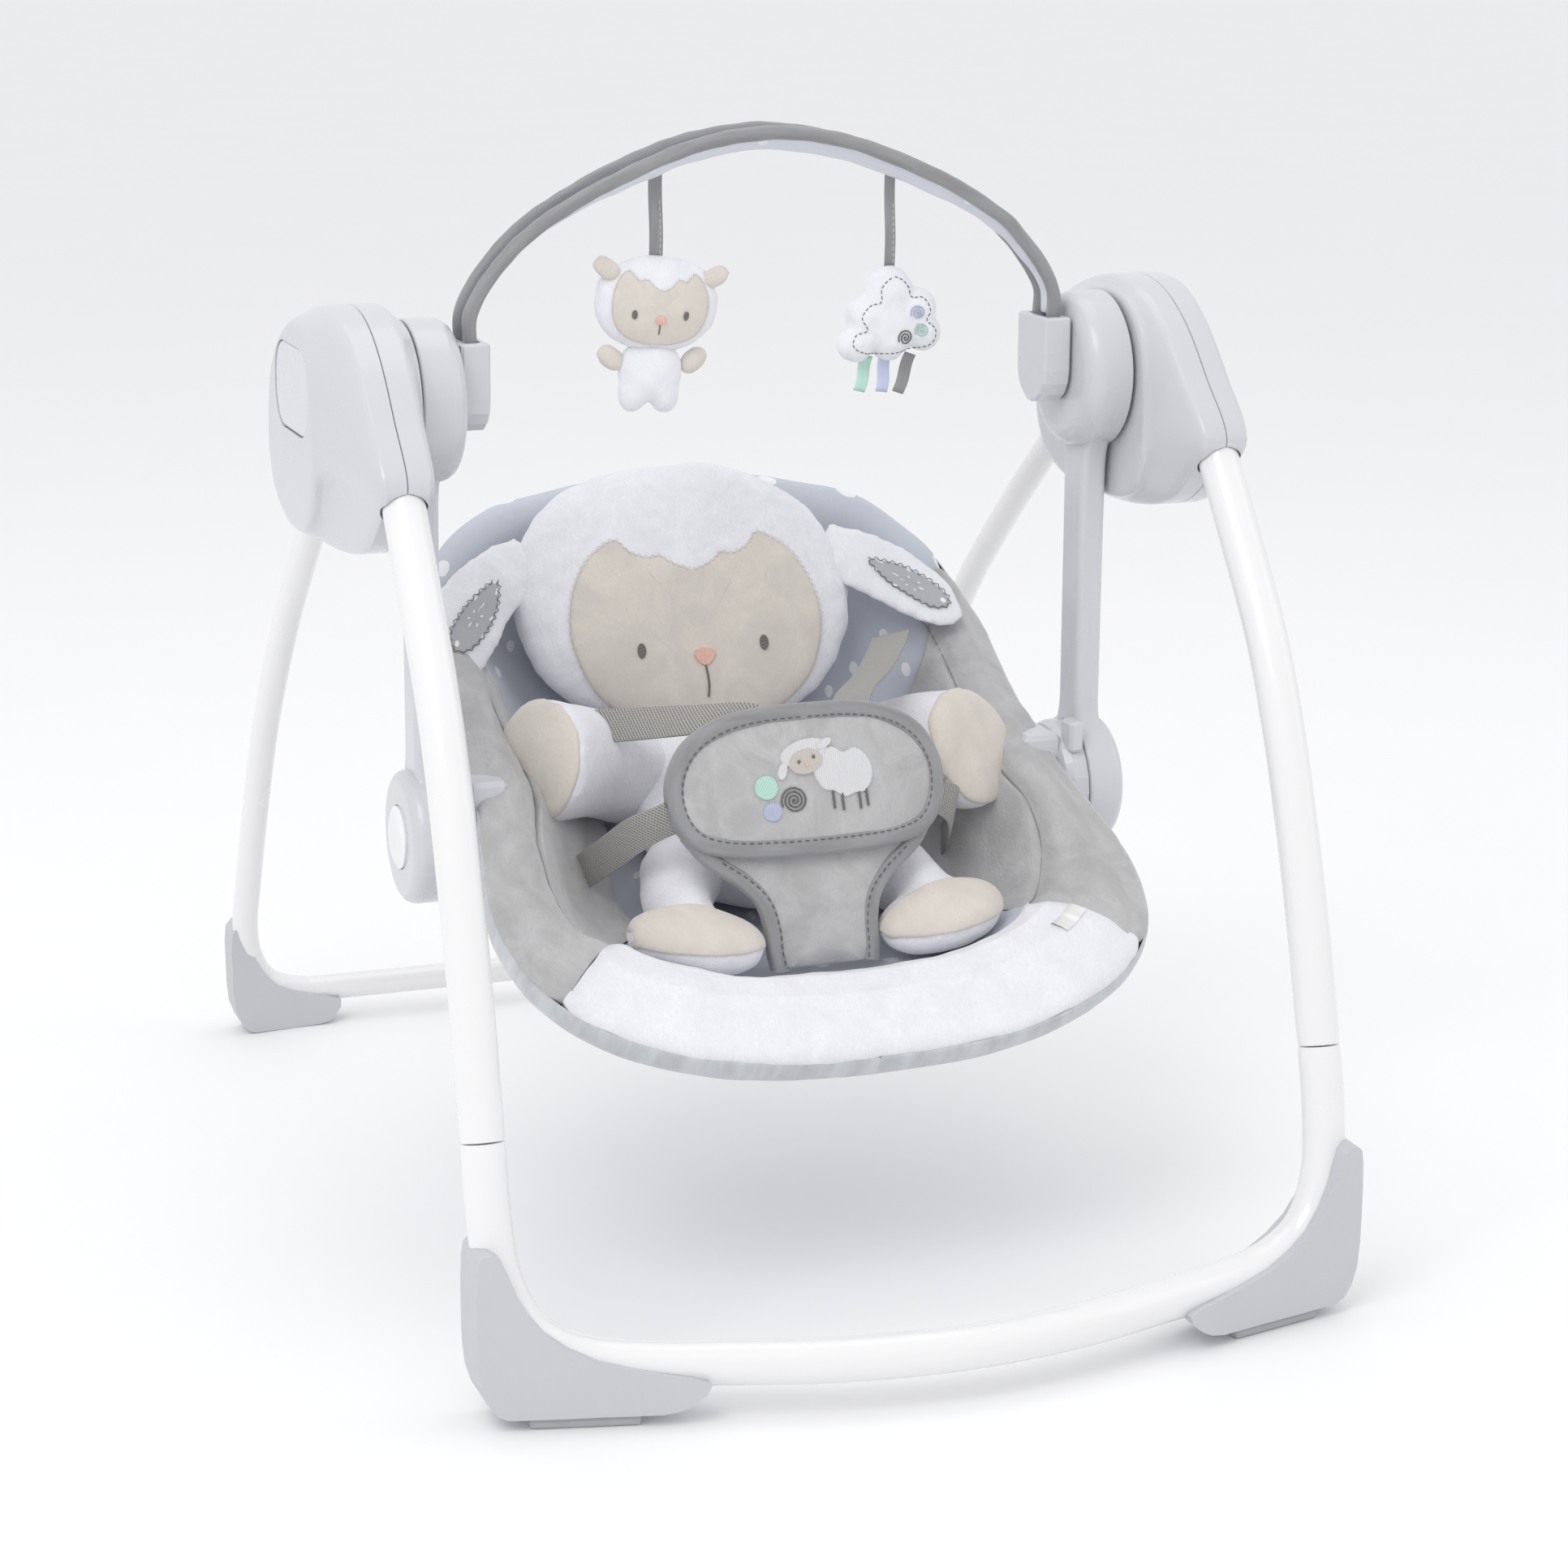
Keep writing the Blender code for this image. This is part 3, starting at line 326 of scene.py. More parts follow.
def between(table, x):
    """The value at x on straight lines through (x, value) pairs sorted by x."""
    if x <= table[0][0]:
        return table[0][1]
    for (x0, v0), (x1, v1) in zip(table, table[1:]):
        if x <= x1:
            t = (x - x0) / (x1 - x0)
            return v0 + (v1 - v0) * t
    return table[-1][1]


def step_up(x, low, high):
    """0 below low, 1 above high and a smooth rise between them."""
    t = min(1.0, max(0.0, (x - low) / (high - low)))
    return t * t * (3 - 2 * t)


def mesh_from(name, bm, outwards=True, sharp=40):
    if outwards:
        bmesh.ops.recalc_face_normals(bm, faces=bm.faces)
    mesh = bpy.data.meshes.new(name)
    bm.to_mesh(mesh)
    bm.free()
    mesh.shade_smooth()
    mesh.set_sharp_from_angle(angle=math.radians(sharp))
    return mesh


def grid(name, rows, closed=False, caps=(False, False), flip=False, sharp=60):
    """A mesh over rows of points. Each face corner gets UVs in metres: U along a row, V from row to row."""
    bm = bmesh.new()
    layer = bm.loops.layers.uv.new("UVMap")
    levels = [[bm.verts.new(p) for p in row] for row in rows]
    count = len(rows[0])
    middle = rows[len(rows) // 2]
    steps = [0.0]
    for i in range(count):
        steps.append(steps[-1] + (middle[(i + 1) % count] - middle[i]).length)
    down = [0.0]
    for lower, upper in zip(rows, rows[1:]):
        lengths = [(upper[i] - lower[i]).length for i in range(0, count, 4)]
        down.append(down[-1] + sum(lengths) / len(lengths))
    for r in range(len(rows) - 1):
        for i in range(count if closed else count - 1):
            j = (i + 1) % count
            corners = [
                (levels[r][i], i, r), (levels[r][j], i + 1, r), (levels[r + 1][j], i + 1, r + 1),
                (levels[r + 1][i], i, r + 1)
            ]
            if flip:
                corners.reverse()
            face = bm.faces.new([c[0] for c in corners])
            for loop, (_, u, v) in zip(face.loops, corners):
                loop[layer].uv = (steps[u], down[v])
    for use, level in zip(caps, (levels[0], levels[-1])):
        if use:
            bm.faces.new(level)
    return mesh_from(name, bm, outwards=closed and all(caps), sharp=sharp)


def frames_along(path, across=None, closed=False):
    """(tangent, side, up) at each point of a path."""
    count = len(path)
    made = []
    side = None
    for i in range(count):
        before = path[i - 1] if i or closed else path[0]
        after = path[(i + 1) % count] if i + 1 < count or closed else path[-1]
        tangent = (after - before).normalized()
        if across is not None:
            wish = Vector(across[i]) if isinstance(across, list) else Vector(across)
            side = (wish - tangent * wish.dot(tangent)).normalized()
        elif side is None:
            wish = Vector((0, 0, 1)) if abs(tangent.z) < 0.8 else Vector((1, 0, 0))
            side = tangent.cross(wish).normalized()
        else:
            side = (side - tangent * side.dot(tangent)).normalized()
        made.append((tangent, side, tangent.cross(side)))
    return made


def sweep(name, path, section, across=None, closed=False, scale=None, caps=True, sharp=60):
    """A closed section, given as (side, up) points, carried along a path."""
    path = [Vector(p) for p in path]
    rows = []
    for i, (_, side, up) in enumerate(frames_along(path, across, closed)):
        size = scale(i / max(1, len(path) - 1)) if scale else 1.0
        rows.append([path[i] + side * a * size + up * b * size for a, b in section])
    if closed:
        rows.append([p.copy() for p in rows[0]])
        return grid(name, rows, True, (False, False), sharp=sharp)
    return grid(name, rows, True, (caps, caps), sharp=sharp)


def circle(radius, sides=32, squash=1.0):
    return [(radius * math.cos(TAU * i / sides), radius * squash * math.sin(TAU * i / sides))
        for i in range(sides)]


def slab(width, thick, sides=10):
    """A flat strap's section with rounded edges."""
    half, r = width / 2, thick / 2
    section = []
    for centre, start in ((half - r, -90), (-(half - r), 90)):
        for i in range(sides // 2 + 1):
            angle = math.radians(start + 180 * i / (sides // 2))
            section.append((centre + r * math.cos(angle), r * math.sin(angle)))
    return section


def turned(name, profile, centre, side, steps=96):
    """(radius, X) points turned about the X direction. The profile runs from one end to the other."""
    rows = [[Vector((side * x, centre[1] + radius * math.cos(TAU * i / steps),
        centre[2] + radius * math.sin(TAU * i / steps))) for i in range(steps)] for radius, x in profile]
    return grid(name, rows, True, (True, True), sharp=50)


def ellipsoid(centre, radii, turn=None, columns=48, rings=24, power=2.0):
    """Rows of points over a closed rounded form. A power above 2 makes it squarer."""
    rows = []
    for r in range(1, rings):
        lat = math.pi * r / rings - math.pi / 2
        row = []
        for c in range(columns):
            lon = TAU * c / columns
            d = Vector((math.cos(lat) * math.cos(lon), math.cos(lat) * math.sin(lon), math.sin(lat)))
            k = sum(abs(v) ** power for v in d) ** (-1 / power)
            row.append(Vector(v * k * radius for v, radius in zip(d, radii)))
        rows.append(row)
    place = Matrix.Translation(centre) @ (turn or Matrix())
    return [[place @ p for p in row] for row in rows]


def add(name, mesh, body, look, nodes=()):
    """Make a piece from a mesh, put it in the frame's place and let it ride on its body."""
    usual_slot, material = LOOKS[look]
    mesh.transform(Matrix.Translation((0, SWING_Y, 0)))
    obj = linked(name, mesh)
    mesh.materials.append(material)
    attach(obj, body)
    if nodes:
        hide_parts(*nodes)
    return obj


def modified(mesh, kind, **settings):
    """The mesh with one modifier applied."""
    obj = linked("work", mesh)
    modifier = obj.modifiers.new(kind, kind)
    for key, value in settings.items():
        setattr(modifier, key, value)
    bpy.context.view_layer.update()
    made = bpy.data.meshes.new_from_object(obj.evaluated_get(bpy.context.evaluated_depsgraph_get()))
    bpy.data.objects.remove(obj)
    made.shade_smooth()
    return made


def subdivided(mesh):
    return modified(mesh, "SUBSURF", levels=1, render_levels=1)


def combined(mesh, other_mesh, operation):
    other = linked("other", other_mesh)
    made = modified(mesh, "BOOLEAN", operation=operation, object=other, solver="EXACT")
    bpy.data.objects.remove(other)
    return made


def cut(mesh, *cutters):
    for cutter in cutters:
        mesh = combined(mesh, cutter, "DIFFERENCE")
    return mesh


def stuffed(mesh, voxel=0.004, pressure=4.0, cap=0.006, relax=6, frames=20, levels=1):
    """Remeshed and blown up as stuffed fabric by a short cloth simulation, then smoothed and subdivided."""
    mesh = modified(mesh, "REMESH", mode="VOXEL", voxel_size=voxel)
    mesh = modified(mesh, "SMOOTH", iterations=relax, factor=0.5)
    mesh = blown_up(mesh, pressure, cap, frames)
    return modified(mesh, "SUBSURF", levels=levels, render_levels=levels)


def blown_up(mesh, pressure, cap, frames):
    start = [v.co.copy() for v in mesh.vertices]
    obj = linked("cloth", mesh)
    scene = bpy.context.scene
    modifier = obj.modifiers.new("Cloth", "CLOTH")
    modifier.settings.use_pressure = True
    modifier.settings.uniform_pressure_force = pressure
    modifier.settings.effector_weights.gravity = 0
    modifier.settings.quality = 4
    modifier.point_cache.frame_start, modifier.point_cache.frame_end = 1, frames
    for number in range(1, frames + 1):
        scene.frame_set(number)
    swollen = bpy.data.meshes.new_from_object(obj.evaluated_get(bpy.context.evaluated_depsgraph_get()))
    for vertex, at in zip(swollen.vertices, start):
        moved = vertex.co - at
        if moved.length > cap:
            vertex.co = at + moved * (cap / moved.length)
    bpy.data.objects.remove(obj)
    scene.frame_set(1)
    swollen.shade_smooth()
    return swollen


def roughened(mesh, *waves):
    """Each point moved along its normal by noise of each (amount, size): stuffing and pile lie uneven."""
    for amount, size in waves:
        for vertex, normal in [(v, v.normal.copy()) for v in mesh.vertices]:
            vertex.co += normal * amount * noise.noise(vertex.co / size)
    return mesh


class Skin:
    """The front of a finished mesh, to lay patches and stitches on."""

    def __init__(self, mesh, place, reach=0.2):
        self.tree = BVHTree.FromPolygons([v.co for v in mesh.vertices],
            [p.vertices[:] for p in mesh.polygons])
        self.place = place
        self.reach = reach

    def at(self, x, z, lift=0.0):
        """The point of the skin seen from the front at (x, z) of the placing matrix, raised by lift."""
        start = self.place @ Vector((x, -self.reach, z))
        way = (self.place.to_3x3() @ Vector((0, 1, 0))).normalized()
        hit, normal, _, _ = self.tree.ray_cast(start, way)
        if hit is None:
            hit, normal, _, _ = self.tree.find_nearest(self.place @ Vector((x, 0, z)))
        if normal.dot(way) > 0:
            normal = -normal
        return hit + normal * lift


RINGS = (1.0, 0.99, 0.96, 0.9, 0.8, 0.66, 0.5, 0.34, 0.18, 0.06)


def patch(name, skin, outline, centre, lift, tucked=-0.0006):
    """An applique on a skin: the outline shrinks towards its centre in rings, and its edge tucks in."""
    rows = []
    for number, size in enumerate(RINGS):
        rise = tucked if number == 0 else lift * (0.75 if number == 1 else 1.0)
        rows.append([skin.at(centre[0] + (x - centre[0]) * size, centre[1] + (z - centre[1]) * size, rise)
            for x, z in outline])
    return grid(name, rows, True, (False, True), sharp=80)


def applique(name, skin, outline, centre, lift, body, look, tucked=-0.0006):
    add(name, patch(name, skin, outline, centre, lift, tucked), body, look)


def stitches(name, points, length, gap, radius, zigzag=0.0, side=None):
    """Short thread dashes along a line of points, or a zigzag where each dash leans to the other side."""
    total = [0.0]
    for a, b in zip(points, points[1:]):
        total.append(total[-1] + (b - a).length)

    def on_line(distance):
        for i in range(len(points) - 1):
            if distance <= total[i + 1]:
                t = (distance - total[i]) / max(1e-9, total[i + 1] - total[i])
                return points[i].lerp(points[i + 1], t), i
        return points[-1], len(points) - 2
    bm = bmesh.new()
    distance, number = 0.0, 0
    while distance + length < total[-1]:
        a, i = on_line(distance)
        b, j = on_line(distance + length)
        if zigzag:
            way = 1 if number % 2 else -1
            a, b = a + side[i] * zigzag * way, b - side[j] * zigzag * way
        along = b - a
        turn = along.to_track_quat("Z", "Y").to_matrix().to_4x4()
        made = bmesh.ops.create_cone(bm, cap_ends=True, segments=6, radius1=radius * 0.7,
            radius2=radius * 0.7, depth=along.length)
        bmesh.ops.transform(bm, matrix=Matrix.Translation((a + b) / 2) @ turn, verts=made["verts"])
        distance += length + gap
        number += 1
    return mesh_from(name, bm)


def thread(name, points, radius, sides=8):
    return sweep(name, points, circle(radius, sides))


def spiral(skin, centre, radius, turns, lift, steps=14):
    """Points of a flat spiral on a skin."""
    count = int(turns * steps)
    return [skin.at(centre[0] + radius * i / count * math.cos(TAU * i / steps),
        centre[1] + radius * i / count * math.sin(TAU * i / steps), lift) for i in range(count + 1)]


# ---- hard shells ----

HOUSING_IN, HOUSING_OUT, SEAM = 0.2315, 0.29, 0.258
GAP, WALL = 0.0004, 0.003
FULL_OUTLINE = (
    (-0.1215, 0.498), (-0.097, 0.47), (-0.07, 0.452), (-0.03, 0.4435), (0.02, 0.442), (0.06, 0.4445),
    (0.094, 0.457), (0.109, 0.474), (0.1145, 0.495), (0.1125, 0.518), (0.102, 0.546), (0.079, 0.567),
    (0.043, 0.5805), (0.005, 0.5865), (-0.03, 0.5805), (-0.062, 0.562), (-0.092, 0.532)
)
REAR_OF_FACE = (
    (0.058, 0.4485), (0.087, 0.46), (0.1005, 0.476), (0.1055, 0.495), (0.1035, 0.516), (0.094, 0.541),
    (0.073, 0.56)
)
INNER_FACE = (
    (-0.062, 0.5), (-0.06, 0.476), (-0.05, 0.458), (-0.025, 0.4475), (0.02, 0.446), *REAR_OF_FACE,
    (0.04, 0.573), (0.004, 0.579), (-0.028, 0.5745), (-0.05, 0.558), (-0.06, 0.532)
)
OUTER_FACE = (
    (-0.0235, 0.505), (-0.021, 0.487), (-0.012, 0.465), (0.008, 0.4505), (0.03, 0.447), *REAR_OF_FACE,
    (0.045, 0.573), (0.022, 0.577), (0.002, 0.571), (-0.013, 0.556), (-0.0215, 0.533)
)
SCOOP = (1.0, 2.6, 2.8, 2.0) + (1.0,) * 11 + (1.2, 1.0)
INNER_STATIONS = (
    (0.2315, 0, 0.005), (0.2317, 0, 0.003), (0.2323, 0, 0.0012), (0.2332, 0, 0.0003), (0.2345, 0.08, 0),
    (0.2365, 0.36, 0), (0.2388, 0.7, 0), (0.2408, 0.89, 0), (0.2428, 0.97, 0), (0.245, 1, 0), (0.2574, 1, 0),
    (0.2578, 1, 0.0006)
)
OUTER_STATIONS = (
    (0.2582, 1, 0.0006), (0.2586, 1, 0), (0.27, 1, 0), (0.2722, 0.985, 0), (0.2745, 0.93, 0), (0.277, 0.8, 0),
    (0.2795, 0.61, 0), (0.282, 0.42, 0), (0.2845, 0.24, 0), (0.2865, 0.11, 0), (0.288, 0.02, 0.0006),
    (0.2892, 0, 0.002), (0.2898, 0, 0.004), (HOUSING_OUT, 0, 0.0065)
)
INNER_CAVITY = ((HOUSING_IN + WALL, 0, 0.0035), (HOUSING_IN + 0.013, 0.93, 0.001), (SEAM + 0.001, 1, 0))
OUTER_CAVITY = (
    (SEAM - 0.001, 1, 0), (0.2705, 1, 0.001), (0.2765, 0.58, 0.002), (0.2825, 0.18, 0.003),
    (0.2866, 0, 0.004)
)
FRONT_X, FRONT_R = 0.258, 0.0127
FRONT_UPPER = (
    (-0.0955, 0.5055), (-0.108, 0.488), (-0.148, 0.434), (-0.18, 0.388), (-0.205, 0.338), (-0.226, 0.283),
    (-0.246, 0.222), (-0.264, 0.157)
)
FRONT_CORNER = (
    (0.258, -0.264, 0.1565), (0.2578, -0.273, 0.118), (0.254, -0.281, 0.082), (0.24, -0.288, 0.053),
    (0.214, -0.294, 0.037), (0.178, -0.302, 0.031)
)
FRONT_BAR = ((0.13, -0.315, 0.03), (0.07, -0.331, 0.03), (0.0, -0.338, 0.03))
REAR_X, REAR_R = 0.25, 0.0093
REAR_LEG = (
    (0.11, 0.4654), (0.145, 0.436), (0.19, 0.397), (0.25, 0.34), (0.32, 0.256), (0.365, 0.18), (0.395, 0.12)
)
REAR_CORNER = ((0.25, 0.41, 0.085), (0.246, 0.417, 0.058), (0.233, 0.422, 0.036), (0.208, 0.425, 0.026))
REAR_BAR = ((0.17, 0.425, 0.0245), (0.0, 0.425, 0.0245))
BADGE = ((-0.01, 0.508), (0.078, 0.56), 0.022)
BADGE_DOME = ((0.0, 0.2872), (0.0, 0.2889), (0.0006, 0.2894), (0.002, 0.2897), (0.008, 0.2899), (0.016, 0.29))
CONTROLS = ((-0.006, 0.52), (0.076, 0.556), 0.014)
DOOR = ((-0.002, 0.464), (0.07, 0.508), 0.008)
BUTTONS = ((0.016, 0.538), (0.054, 0.538))
BUTTON_HOLE_R, FOLD_BUTTON_HOLE_R, AXLE_HOLE_R = 0.0067, 0.0064, 0.0115
KNUCKLE_SLOT = ((0.2395, 0.074, 0.42), (0.2605, 0.15, 0.481))


def both_halves(half):
    """A half path that ends on the axis, with its mirror image in X added."""
    return list(half) + [(-x, y, z) for x, y, z in half[-2::-1]]


def rod(start, end, radius, sides=48):
    return sweep("rod", [Vector(start), Vector(start).lerp(Vector(end), 0.5), Vector(end)],
        circle(radius, sides))


def block(low, high):
    low, high = [min(a, b) for a, b in zip(low, high)], [max(a, b) for a, b in zip(low, high)]
    corners = ((low[1], low[2]), (high[1], low[2]), (high[1], high[2]), (low[1], high[2]))
    rows = [[Vector((x, y, z)) for y, z in corners] for x in (low[0], high[0])]
    return grid("block", rows, True, (True, True))


def housing_shell(side, stations, face, per, wall=0.0):
    rows = []
    for x, mix, inwards in stations:
        keys = [Vector(a).lerp(Vector(b), mix ** scoop) for a, b, scoop in zip(face, FULL_OUTLINE, SCOOP)]
        outline = inset(smooth(keys, per, closed=True), inwards + wall)
        rows.append([Vector((side * x, p.x, p.y)) for p in outline])
    return grid("housing", rows, True, (True, True), sharp=32)


def rounded_rectangle(low, high, corner, grow=0.0, steps=8):
    low, high, corner = (low[0] - grow, low[1] - grow), (high[0] + grow, high[1] + grow), corner + grow
    left, right, bottom, top = low[0] + corner, high[0] - corner, low[1] + corner, high[1] - corner
    outline = []
    for quarter, (y, z) in enumerate(((right, top), (left, top), (left, bottom), (right, bottom))):
        for step in range(steps + 1):
            angle = math.radians(90 * quarter + 90 * step / steps)
            outline.append((y + corner * math.cos(angle), z + corner * math.sin(angle)))
    return outline


def panel_block(side, shape, x_range, grow):
    low, high, corner = shape
    outline = rounded_rectangle(low, high, corner, grow)
    rows = [[Vector((side * x, y, z)) for y, z in outline] for x in x_range]
    return grid("panel", rows, True, (True, True))


def leg_hole(side):
    top, mouth = (Vector((side * FRONT_X, *p)) for p in FRONT_UPPER[:2])
    along = (mouth - top).normalized()
    return rod(top - along * 0.002, mouth + along * 0.05, FRONT_R + 0.0012)


def even_shading(obj):
    """Normals weighted by face area, so that the large faces beside a cut stay smooth."""
    obj.modifiers.new("even", "WEIGHTED_NORMAL").keep_sharp = True


def housings():
    for side, word in SIDES:
        def at_side(corner):
            return (side * corner[0], corner[1], corner[2])
        inner = cut(housing_shell(side, INNER_STATIONS, INNER_FACE, 6),
            housing_shell(side, INNER_CAVITY, INNER_FACE, 2, WALL), leg_hole(side),
            block(*map(at_side, KNUCKLE_SLOT)),
            rod(at_side((0.22, 0, SWING_Z)), at_side((0.245, 0, SWING_Z)), AXLE_HOLE_R))
        outer = cut(housing_shell(side, OUTER_STATIONS, OUTER_FACE, 6),
            housing_shell(side, OUTER_CAVITY, OUTER_FACE, 2, WALL), leg_hole(side),
            block(*map(at_side, KNUCKLE_SLOT)))
        low, high = Vector(FULL_OUTLINE[9]), Vector(FULL_OUTLINE[10])
        along = (high - low).normalized()
        centre, outwards = (low + high) / 2, Vector((along.y, -along.x))
        ends = [(side * 0.272, *(centre + outwards * way)) for way in (-0.01, 0.01)]
        outer = cut(outer, rod(*ends, FOLD_BUTTON_HOLE_R, 32))
        if side < 0:
            outer = cut(outer, panel_block(side, BADGE, (0.2866, 0.3), 0.0008))
        else:
            outer = cut(outer, panel_block(side, CONTROLS, (0.2874, 0.3), 0.0005),
                panel_block(side, DOOR, (0.28, 0.3), 0.0005),
                *[rod((0.28, y, z), (0.3, y, z), BUTTON_HOLE_R, 32) for y, z in BUTTONS])
        for mesh in (inner, outer):
            mesh.set_sharp_from_angle(angle=math.radians(32))
        even_shading(add(f"shell_inner_{word}", inner, "frame", "hub", nodes=[f"housing_{word}_inner"]))
        even_shading(add(f"shell_outer_{word}", outer, "frame", "hub", nodes=[f"housing_{word}_outer"]))


def badge():
    """The blank inset panel of the left hub, slightly domed."""
    low, high, corner = BADGE
    rows = []
    for inwards, x in BADGE_DOME:
        outline = rounded_rectangle((low[0] + inwards, low[1] + inwards),
            (high[0] - inwards, high[1] - inwards), max(0.004, corner - inwards), steps=12)
        rows.append([Vector((-x, y, z)) for y, z in outline])
    add("badge_blank", grid("badge", rows, True, (True, True), sharp=50), "frame", "badge",
        nodes=["badge_panel"])


def tubes():
    for side, word in SIDES:
        path = smooth([(side * FRONT_X, y, z) for y, z in FRONT_UPPER], 8)
        mesh = sweep("leg", path, circle(FRONT_R, 48), scale=lambda t: 1.0 if t < 0.999 else 0.965)
        add(f"leg_tube_{word}", mesh, "frame", "tube", nodes=[f"front_leg_{word}"])
    path = smooth(both_halves(FRONT_CORNER + FRONT_BAR), 8)
    path[0].z -= GAP
    path[-1].z -= GAP
    mesh = sweep("base", path, circle(FRONT_R, 48), scale=lambda t: 1.0 if 0.001 < t < 0.999 else 0.965)
    add("base_tube", mesh, "frame", "tube", nodes=["front_base_tube"])
    leg = tuple((REAR_X, y, z) for y, z in REAR_LEG)
    path = smooth(both_halves(leg + REAR_CORNER + REAR_BAR), 8)
    add("rear_tube", sweep("rear", path, circle(REAR_R, 40)), "rear_legs", "tube", nodes=["rear_leg_tube"])


POD_R, ARM_IN, ARM_OUT = 0.0495, 0.2112, 0.229
HUB_R, HUB_OUT = 0.0417, 0.2362
ARM_BORES = (
    (0.2065, 0.24, SWING_Z, 0.0435), (0.2042, 0.24, SWING_Z, 0.0064), (0.19, 0.208, SWING_Z, 0.0056),
    (0.2, 0.2285, HUB_Z, 0.0062), (0.2312, 0.25, HUB_Z, 0.02)
)


def swing_arms():
    pod = (
        (0.0006, ARM_OUT), (POD_R - 0.0008, ARM_OUT), (POD_R, ARM_OUT - 0.0008), (POD_R, 0.2115),
        (POD_R - 0.0004, 0.2085), (POD_R - 0.0016, 0.2056), (POD_R - 0.0036, 0.203), (POD_R - 0.0064, 0.2012),
        (POD_R - 0.01, 0.2002), (POD_R - 0.0135, 0.2), (0.0006, 0.2)
    )
    hub = (
        (0.0006, HUB_OUT), (HUB_R - 0.0085, HUB_OUT), (HUB_R - 0.005, HUB_OUT - 0.0006),
        (HUB_R - 0.0022, HUB_OUT - 0.0024), (HUB_R - 0.0006, HUB_OUT - 0.0052), (HUB_R, HUB_OUT - 0.0085),
        (HUB_R, ARM_IN + 0.002), (HUB_R - 0.0006, ARM_IN + 0.0006), (HUB_R - 0.002, ARM_IN), (0.0006, ARM_IN)
    )
    beam = (
        (0.505, 0.033), (0.492, 0.0265), (0.484, 0.0205), (0.476, 0.0172), (0.466, 0.0156), (0.45, 0.015),
        (0.37, 0.0145), (0.312, 0.0142), (0.304, 0.015), (0.297, 0.0175), (0.291, 0.022), (0.284, 0.029)
    )
    for side, word in SIDES:
        mesh = turned("pod", pod, (0, 0, SWING_Z), side)
        middle, half_x = (ARM_IN + ARM_OUT) / 2, (ARM_OUT - ARM_IN) / 2 - 0.0003
        rows = []
        for z, half_y in beam:
            section = rounded_rectangle((-half_x, -half_y), (half_x, half_y), 0.0045)
            rows.append([Vector((side * (middle + x), y, z)) for x, y in section])
        mesh = combined(mesh, grid("beam", rows, True, (True, True), sharp=50), "UNION")
        mesh = combined(mesh, turned("hub", hub, (0, 0, HUB_Z), side), "UNION")
        for start, end, z, radius in ARM_BORES:
            mesh = cut(mesh, rod((side * start, 0, z), (side * end, 0, z), radius, 64))
        mesh.set_sharp_from_angle(angle=math.radians(38))
        even_shading(add(f"arm_shell_{word}", mesh, "swing", "hub", nodes=[f"swing_arm_{word}"]))


def carried_over(looks):
    """Better materials for the CAD nodes whose shape already is right."""
    for name, material in looks.items():
        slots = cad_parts[name].data.materials
        slots.clear()
        slots.append(material)


def hard_parts():
    plastic = plain("hub_gloss", HOUSING, 0.27, 0.01, 6, 0, coat=0.35)
    white = plain("badge_white", (0.66, 0.67, 0.71), 0.28, 0.012, 12, 0.00002, coat=0.3)
    button = plain("button_white", (0.8, 0.8, 0.815), 0.35, 0.02, 30, 0.00005, 0.4)
    paint = plain("tube_white", (0.84, 0.835, 0.84), 0.22, 0.008, 9, 0.00002, coat=0.6)
    matte = plain("foot_grey", (0.56, 0.565, 0.59), 0.5, 0.02, 30, 0.0001)
    rubber = plain("pad_rubber", (0.43, 0.44, 0.45), 0.8, 0.06, 60, 0.0002)
    steel = plain("brushed_steel", (0.56, 0.56, 0.57), 0.32, 0.05, 90, 0.00005, 0.4, metallic=1.0)
    nylon = plain("nylon", (0.8, 0.79, 0.74), 0.5, 0.03, 50)
    dark = plain("battery_dark", (0.07, 0.08, 0.09), 0.4, 0.1, 40)
    board = plain("board_green", (0.05, 0.22, 0.1), 0.5, 0.15, 120)
    LOOKS.update(hub=("hub_plastic", plastic), badge=("white_plastic", white), tube=("tube_paint", paint))
    housings()
    badge()
    tubes()
    swing_arms()
    looks = {"battery_door": plastic, "control_panel": matte, "battery_pack": dark, "speaker": dark,
        "circuit_board": board, "drive_motor": steel, "drive_gear": nylon, "motor_pinion": nylon,
        "speed_button": button, "music_button": button, "seat_frame": steel}
    for word in ("left", "right"):
        looks.update({f"bearing_{word}": nylon, f"rear_pivot_pin_{word}": steel, f"swing_axle_{word}": steel,
            f"fold_button_{word}": matte, f"recline_button_{word}": button, f"front_foot_{word}": matte,
            f"rear_foot_{word}": matte, f"front_pad_{word}": rubber, f"rear_knuckle_{word}": matte,
            f"seat_hub_{word}": plastic, f"toy_bar_socket_{word}": plastic})
    carried_over(looks)


# ---- seat cover ----

TILT = math.radians(37.5)
ALONG = Vector((0, math.cos(TILT), math.sin(TILT)))
UP = Vector((1, 0, 0)).cross(ALONG)
MIDDLE = Vector((0, 0.009, 0.306))
SEAT_RING = (
    (0.0, -0.197, 0.162), (0.085, -0.195, 0.167), (0.148, -0.183, 0.184), (0.184, -0.156, 0.205),
    (0.196, -0.11, 0.229), (0.189, -0.06, 0.255), (0.179, -0.02, 0.276), (0.179, 0.02, 0.293),
    (0.184, 0.078, 0.322), (0.18, 0.125, 0.353), (0.16, 0.166, 0.387), (0.112, 0.186, 0.415),
    (0.0, 0.194, 0.428)
)
PER_KEY = 8
RIM = smooth(mirrored(SEAT_RING), PER_KEY, closed=True)
BOLSTER_END, WING_END = 2.75, 9.4
